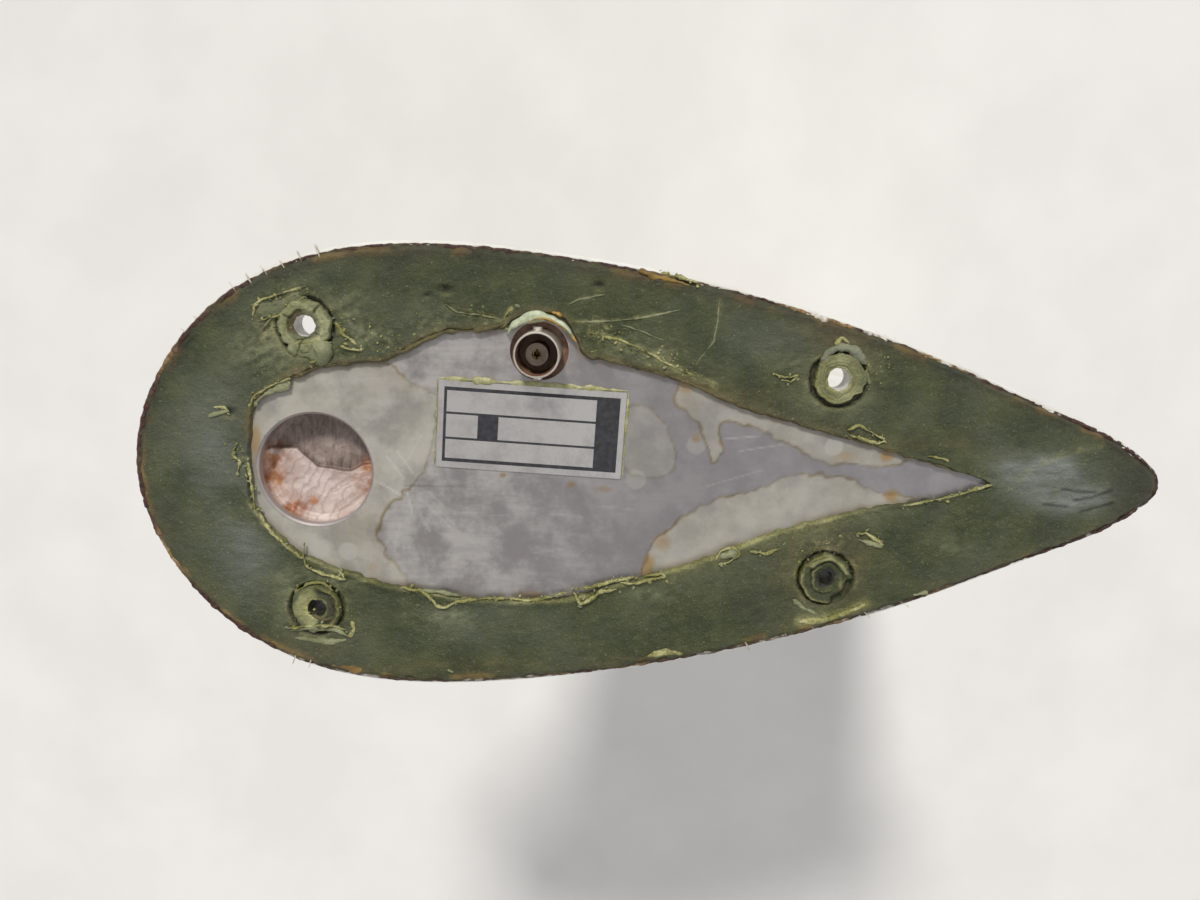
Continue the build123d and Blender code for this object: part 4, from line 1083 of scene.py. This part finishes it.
def sealant_fragments():
    """All the ridges, flaps and crumbs that the tearing left on the bed, joined into one piece."""
    each, off_tear, off_rim, spacing, row_step = 14, 1.0, 2.0, 1.5, 0.22
    draw = np.random.default_rng(301)
    loose = []
    for px, py, reach, _ in grit:
        for _ in range(each):
            x, y = px + draw.normal(0, 0.55 * reach), py + draw.normal(0, 0.55 * reach)
            if depth(x, y, window) < -off_tear and depth(x, y, outline[::8]) > off_rim:
                size, heading = draw.uniform(0.25, 0.6), draw.uniform(0, TWO_PI)
                loose.append(crumb("torn", x, y, size, heading, 0.6 * size, 0.5 * size))
    for shade, wide, _, _, *path in fragments:
        if shade != "torn" or wide > 0.6:
            continue
        path = np.reshape(path, (-1, 2))
        for px, py in along(path, int(length_of(path) / spacing) + 1):
            size, heading = draw.uniform(0.3, 1.1), draw.uniform(0, TWO_PI)
            x, y = px + draw.normal(0, 0.35), py + draw.normal(0, 0.35)
            shade = draw.choice(["torn", "pale"])
            loose.append(crumb(shade, x, y, size, heading, draw.uniform(0.25, 0.6), 0.4))
    parts, values = [], {"torn": [], "pale": [], "brown": [], "haze": [], "stain": []}
    for number, (shade, wide, high, foot, *path) in enumerate((*fragments, *loose)):
        path = curve = np.reshape(path, (-1, 2))
        if len(path) > 2:
            curve = np.vstack([path[0], rounded(path, 8, closed=False), path[-1]])
        curve = along(curve, max(6, int(length_of(path) / row_step)))
        x, y = curve.T
        swing = 0.12 * np.column_stack([rough(x, y, 1.2, 303 + number), rough(x, y, 1.2, 503 + number)])
        wide, grain = (1.35 * wide, 1.4) if wide < 0.8 else (wide, 2.6)
        parts.append(ribbon(curve + swing, wide, high, 311 + number, foot, grain))
        for key, layer in values.items():
            same = key == shade or (key == "haze" and shade == "grey")
            base = {"grey": 0.5, "faint": 0.4}.get(shade, 0.0) if key == "pale" else 0.0
            layer.append(np.where(same, 0.35 + 0.6 * parts[-1][2], base))
    values = {key: np.concatenate(layer) for key, layer in values.items()}
    add_piece("sealant_fragments", "sealant", [], *joined(parts), sealant, values)


sealant_fragments()


def port_filler():
    """Cast filler: round rows from the middle out, dished, with an S-shaped step, and a flat back."""
    rings, count = 64, 200
    cos, sin = circle(count)
    radius = np.concatenate([np.linspace(0.15, 12.45, rings), [12.5, 12.55, 12.55]])[:, None]
    x, y = radius * cos, radius * sin
    step = points_in("-12.5 -3.9  -11.2 -4  -5.4 -3.8  -1.2 0.3  6 1.4  9.6 -0.2  12.5 -0.6")
    past = y - np.interp(-x, *step.T) - 0.3 * rough(x, y, 3, 121)
    deep = 1 - smooth(past, -0.4, 0.35)
    ledge = y - np.interp(-x, [-8, 0, 6, 12], [9, 7.2, 4.4, 3.0]) - 0.3 * rough(x, y, 3, 125)
    z = -6.35 - 1.1 * deep + 0.3 * smooth(ledge, -0.3, 0.3) + 0.22 * rough(x, y, 4, 123)
    z = z + 0.06 * rough(x, y, 1.2, 127) + 0.9 * smooth(radius, 11.2, 12.5)
    z[-3:] = np.array([[-4.6], [-3.9], [-3.6]])
    z = np.clip(z, -7.7, -3.6)
    patches = read_table("""
10.5 -1.5 3.2
11.3 3.5 2.6
6.5 9.8 2.6
-9.6 3.6 2.4
-10.8 0.4 1.8
2 8.8 1
""")
    ragged = 0.7 * rough(x, y, 2, 131)
    orange = sum(bell(np.hypot(x - px, y - py) + ragged, size) for px, py, size in patches)
    values = {
        # The deeper upper half is laid on brown: the filler's colour, darkened as painted shadow from the
        # port's rim.
        "brown": deep * (0.85 + 0.2 * rough(x, y, 5, 129)) + 0.25 * bell(past, 0.8),
        "orange": orange * (0.75 + 0.4 * smooth(radius, 8.8, 12.0)) * (0.9 + 0.7 * rough(x, y, 1.4, 133)),
        # Painted shade along the edges of the step and the ledge.
        "line": 0.6 * bell(past, 0.22) + 0.4 * bell(ledge, 0.15),
    }
    back = np.array([(13.6, -3.72), (13.6, -13.6), (0.15, -13.6)])
    radius, z = np.vstack([radius, back[:, :1]]), np.vstack([z, back[:, 1:] + 0 * cos])
    points = np.stack([port[0] + radius * cos, port[1] + radius * sin, z], axis=-1)
    caps = [range(count), range(len(radius) * count - 1, (len(radius) - 1) * count - 1, -1)]
    quads = grid_quads(len(radius), count, closed_v=True)
    values = shares(values, rows=(0, len(back)), mode="constant")
    add_piece("cast_port_filler", "filler_resin", ["port_filler"], points, quads, filler, values, caps=caps)


port_filler()


def rim_crust():
    """Broken edge round the base: a low uneven band, sunk where the rim is bevelled, wide at the nose."""
    count, around = 1700, 9
    ring = along(outline, count, closed=True)
    x, y = ring.T
    nose, tail = smooth(x, 58, 78), smooth(-x, 96, 112)
    upper, lower = smooth(-y, 6, 14) * (1 - nose), smooth(y, 6, 14) * (1 - nose)
    wide = 1.15 + 1.1 * nose + 0.35 * upper + (0.35 + 0.3 * nose) * rough(x, y, 2.2, 141)
    high = np.clip(0.38 + 0.4 * nose + 0.35 * rough(x, y, 1.8, 143), 0.06, 1.1)
    start = 0.5 * upper + 0.32 * lower + 0.16 * nose + 0.14 + 0.2 * rough(x, y, 1.4, 147)
    start = np.clip(start * (1 - 0.6 * tail), 0.03, 0.9)
    section = points_in("0 -0.1  0.04 0.5  0.15 0.85  0.35 1  0.55 0.95  0.75 0.8  0.92 0.45  1 0  0.5 -0.2")
    inset = start[:, None] + wide[:, None] * section[:, 0]
    rows = np.stack([pulled_in(ring, column) for column in inset.T], axis=1)
    grains = noise(x[:, None] + 3 * np.arange(around), y[:, None] + 0 * inset, 0.7, 149)
    z = PLATE_TOP - np.clip(0.6 - inset, 0, 0.6) + (high[:, None] + 0.3 * grains) * section[:, 1]
    z[:, -1] = PLATE_TOP - 0.05
    points = np.concatenate([rows, z[:, :, None]], axis=2)
    patches = rough(x, y, 7, 151)
    tan = 0.7 * upper * smooth(patches, 0.1, 0.5) * smooth(-x, 10, 24)
    tan = tan + 0.35 * lower * smooth(patches, 0.3, 0.7)
    tan = tan + 0.9 * blob(x, y, 90.6, 19.5, 5.5 / 1.2, 5.5) + 0.5 * blob(x, y, 88, -24, 4)
    white = upper * smooth(-x, 36, 48) + 0.35 * lower + 0.5 * tail
    white = white * 0.9 * smooth(rough(x, y, 3.5, 153), 0.45, 0.8)
    maroon = 1.2 * nose + 1.0 * upper + 0.8 * lower + 1.0 * tail - 0.6 * smooth(rough(x, y, 4, 155), 0.1, 0.7)
    values = {"maroon": maroon[:, None], "tan": tan[:, None], "white": white[:, None]}
    quads = outward(points, grid_quads(count, around, True, True))
    add_piece("broken_edge", "sealant", [], points, quads, crust, shares(values, columns=(0, around - 1)))


rim_crust()


def rim_fringe():
    """Frayed glass fibres and scrape marks: thin ridges square to the outline where the lay-up broke."""
    places = points_in("""
73.8 -41.1  71.7 -42.5  67.6 -42  65.6 -43.4  62.1 -44.3  57.9 -45.7  54.2 -46.7  52.4 -46.9  -39.9 38.4
-41.8 37.9  -44.1 37.2  -49.7 35.6  -67.6 29.3  -74.9 27.6  84.5 -31.5  81.2 -35.2  60.8 44.6  63.5 43.6
""")
    parts = []
    draw = np.random.default_rng(161)
    for number, (x, y) in enumerate(places):
        x, y = outline[np.argmin(np.hypot(outline[:, 0] - x, outline[:, 1] - y))]
        away = np.array([x - 10.0, y * 2.2])
        away /= np.hypot(*away)
        bend = np.array([-away[1], away[0]]) * draw.uniform(-0.5, 0.5)
        start, length = np.array([x, y]) - away * 2.0, draw.uniform(2.2, 3.4)
        path = [start + away * t * length + bend * t * t for t in np.linspace(0, 1, 9)]
        parts.append(ribbon(path, draw.uniform(0.16, 0.3), draw.uniform(0.25, 0.45), 163 + number, -0.75))
    add_piece("rim_fringe", "sealant", [], *joined(parts), fibre)


rim_fringe()


def jack_crescent():
    """Pale sealant squeezed out round the upper side of the jack, with an ochre run along its crest."""
    body = points_in("13.9 -30.6  12.6 -32.6  8.9 -34.4  5.2 -34.3  1.6 -32.5  -0.8 -29.3")
    crest = points_in("9.7 -33  7.3 -34.2  4.2 -33.6  1.5 -32  -0.9 -29.2")
    body = along(rounded([body[0], *body, body[-1]], 10, closed=False), 90)
    crest = along(rounded([crest[0], *crest, crest[-1]], 10, closed=False), 70)
    thick = 1.9 * np.sin(np.linspace(0.35, math.pi - 0.35, 90))
    pale = ribbon(body, thick, 0.8 + 0.3 * np.sin(np.linspace(0, math.pi, 90)), 171, PLATE_TOP + 1.15, 4.5)
    ochre = ribbon(crest, 0.75, 0.62, 173, 0.45, 3)
    lump = ribbon(along([(4.6, -35.5), (3.2, -35.2), (2.2, -34.6)], 12), 0.8, 0.6, 175, 0.0)
    add_piece("jack_sealant_torn", "pale_sealant", ["jack_sealant"], *joined([pale]), pale_sealant)
    add_piece("jack_sealant_run", "pale_sealant", [], *joined([ochre, lump]), ochre_sealant)


jack_crescent()

placard_length, placard_width, placard_turn = 40.7, 19.2, math.radians(-3)
placard_x, placard_y = centre("placard")


def on_placard(u, v):
    """Place in the frame of a point given along the placard's length and width from its middle."""
    cos, sin = math.cos(placard_turn), math.sin(placard_turn)
    return (placard_x + u * cos - v * sin, placard_y + u * sin + v * cos)


def placard_print():
    """Printing on the placard, without lettering: a ruled frame, two rules, a dark column and a dark cell."""
    sides = [(4, 5, 6, 7), (0, 3, 2, 1)] + [(a, (a + 1) % 4, 4 + (a + 1) % 4, 4 + a) for a in range(4)]
    foot, top = -0.905, -0.875
    parts = []
    for left, upper, right, lower in read_table("""
0.03 0.07 0.97 0.11
0.03 0.89 0.97 0.93
0.03 0.11 0.045 0.89
0.955 0.11 0.97 0.89
0.845 0.11 0.955 0.89
0.045 0.355 0.845 0.38
0.045 0.645 0.845 0.67
0.215 0.38 0.325 0.645
"""):
        corners = [(left, upper), (left, lower), (right, lower), (right, upper)]
        corners = [on_placard((0.5 - a) * placard_length, (b - 0.5) * placard_width) for a, b in corners]
        strip = np.array([(*corner, height) for height in (foot, top) for corner in corners])
        parts.append((strip, outward(strip, np.array(sides))))
    add_piece("placard_print", "placard_foil", [], *joined(parts), print_black, sharp=30)


placard_print()


def placard_bead():
    """Yellowed sealant squeezed out along three edges of the placard, thick in places and thin in others."""
    half_u, half_v = placard_length / 2 + 0.35, placard_width / 2 + 0.35
    upper = along([on_placard(half_u, -half_v), on_placard(-half_u, -half_v)], 150)
    rear = along([on_placard(-half_u, -half_v - 0.2), on_placard(-half_u, half_v)], 80)
    front = along([on_placard(half_u, -half_v), on_placard(half_u, half_v)], 80)
    fade = 0.6 + 0.4 * smooth(rough(*upper.T, 7, 181), -0.1, 0.3)
    thin = 0.35 + 0.5 * np.linspace(1, 0, 80)
    parts = [
        ribbon(upper, 1.7 * fade, 0.5 * fade, 183, PLATE_TOP, 2),
        ribbon(rear, 0.8 * thin, 0.45 * thin, 185, PLATE_TOP),
        ribbon(front, 0.35, 0.25, 187, PLATE_TOP),
    ]
    add_piece("placard_bead_torn", "bead_sealant", ["placard_bead"], *joined(parts), bead_sealant)


placard_bead()


def jack_barrel(mouth=4.15, mouth_level=7.9, flare=0.065, wall=4.38, flange_level=-1.0):
    """The jack's barrel with the inner edge of its mouth flared, brown inside, and brown as painted shade
    behind the plate.
    """
    mesh = smooth_copy("jack_shell", "jack_barrel", "jack_metal", nickel).data
    mesh.materials.append(bore_tarnish_and_shade)
    points = coordinates(mesh) / MM
    away = points[:, :2] - jack
    edge = (np.abs(np.hypot(*away.T) - mouth) < 0.05) & (points[:, 2] > mouth_level)
    points[edge, :2] += flare * away[edge]
    mesh.vertices.foreach_set("co", (points * MM).ravel())
    middles = np.empty(len(mesh.polygons) * 3, np.float32)
    mesh.polygons.foreach_get("center", middles)
    middles = middles.reshape(-1, 3) / MM
    # The flange behind the plate takes the brown as painted shade in the gap round the barrel.
    inside = (np.hypot(*(middles[:, :2] - jack).T) < wall) | (middles[:, 2] < flange_level)
    mesh.polygons.foreach_set("material_index", inside.astype(np.int32))
    mesh.update()


smooth_copy("radome_shell", "radome_skin", "radome_paint", paint)
jack_barrel()
smooth_copy("placard", "placard_sheet", "placard_foil", foil)

# Camera, where the photograph was taken from
camera_data = bpy.data.cameras.new("camera")
camera_data.lens, camera_data.sensor_width = 28.5, 36
camera = in_scene("camera", camera_data)
right = Vector((-0.9998, -0.0175, -0.0073))
ahead = Vector((0.0037, 0.1955, -0.9807))
upward = Vector((0.0186, -0.9806, -0.1954))
turned = Matrix((right, upward, -ahead)).transposed().to_4x4()
camera.matrix_world = Matrix.Translation((-0.00698, -0.04638, 0.20314)) @ turned
bpy.context.scene.camera = camera

# Pale floor under the blade's tip
FLOOR_LEVEL, FLOOR_REACH = -0.2355, 4
floor_material, tree, place = new_look("pale_floor")
cloud = add(tree, "TexNoise", {"Vector": place, "Scale": 1 / (60 * MM), "Detail": 3, "Roughness": 0.55})
finish(floor_material, {"Base Color": laid(tree, "#dddbd8", "#e3e1de", cloud, 0.3, 0.7), "Roughness": 0.9})
corners = FLOOR_REACH * np.array([(-1, -1, 0), (1, -1, 0), (1, 1, 0), (-1, 1, 0)])
floor = in_scene("floor", new_mesh("floor", corners, [(0, 1, 2, 3)], floor_material))
floor.location = (0, 0, FLOOR_LEVEL)


def distant_light(name, source, strength, spread, colour):
    """A far lamp shining from a direction, its shadows softened by its spread in degrees."""
    data = bpy.data.lights.new(name, "SUN")
    data.energy, data.angle, data.color = strength, math.radians(spread), linear(colour)[:3]
    in_scene(name, data).rotation_euler = Vector(source).to_track_quat("Z", "Y").to_euler()


distant_light("key", (0.13, -0.76, 0.68), 2.6, 10, "#fffcf7")
distant_light("fill", (-0.7, 0.5, 0.9), 0.4, 50, "#f2f6ff")

# Sky: soft white light, brighter where the camera sees it
world = bpy.data.worlds.new("studio")
bpy.context.scene.world = world
world.use_nodes = True
tree = world.node_tree
tree.nodes.clear()
ray = add(tree, "LightPath").node.outputs
rays = {0: ray["Is Camera Ray"], 1: ray["Is Transmission Ray"]}
seen = add(tree, "Math", rays, operation="MAXIMUM")
level = add(tree, "MapRange", {0: seen, 3: 0.48, 4: 0.95})
sky = add(tree, "Background", {"Color": "#ffffff", "Strength": level})
add(tree, "OutputWorld", {"Surface": sky})

bpy.context.scene.view_settings.view_transform = "Standard"
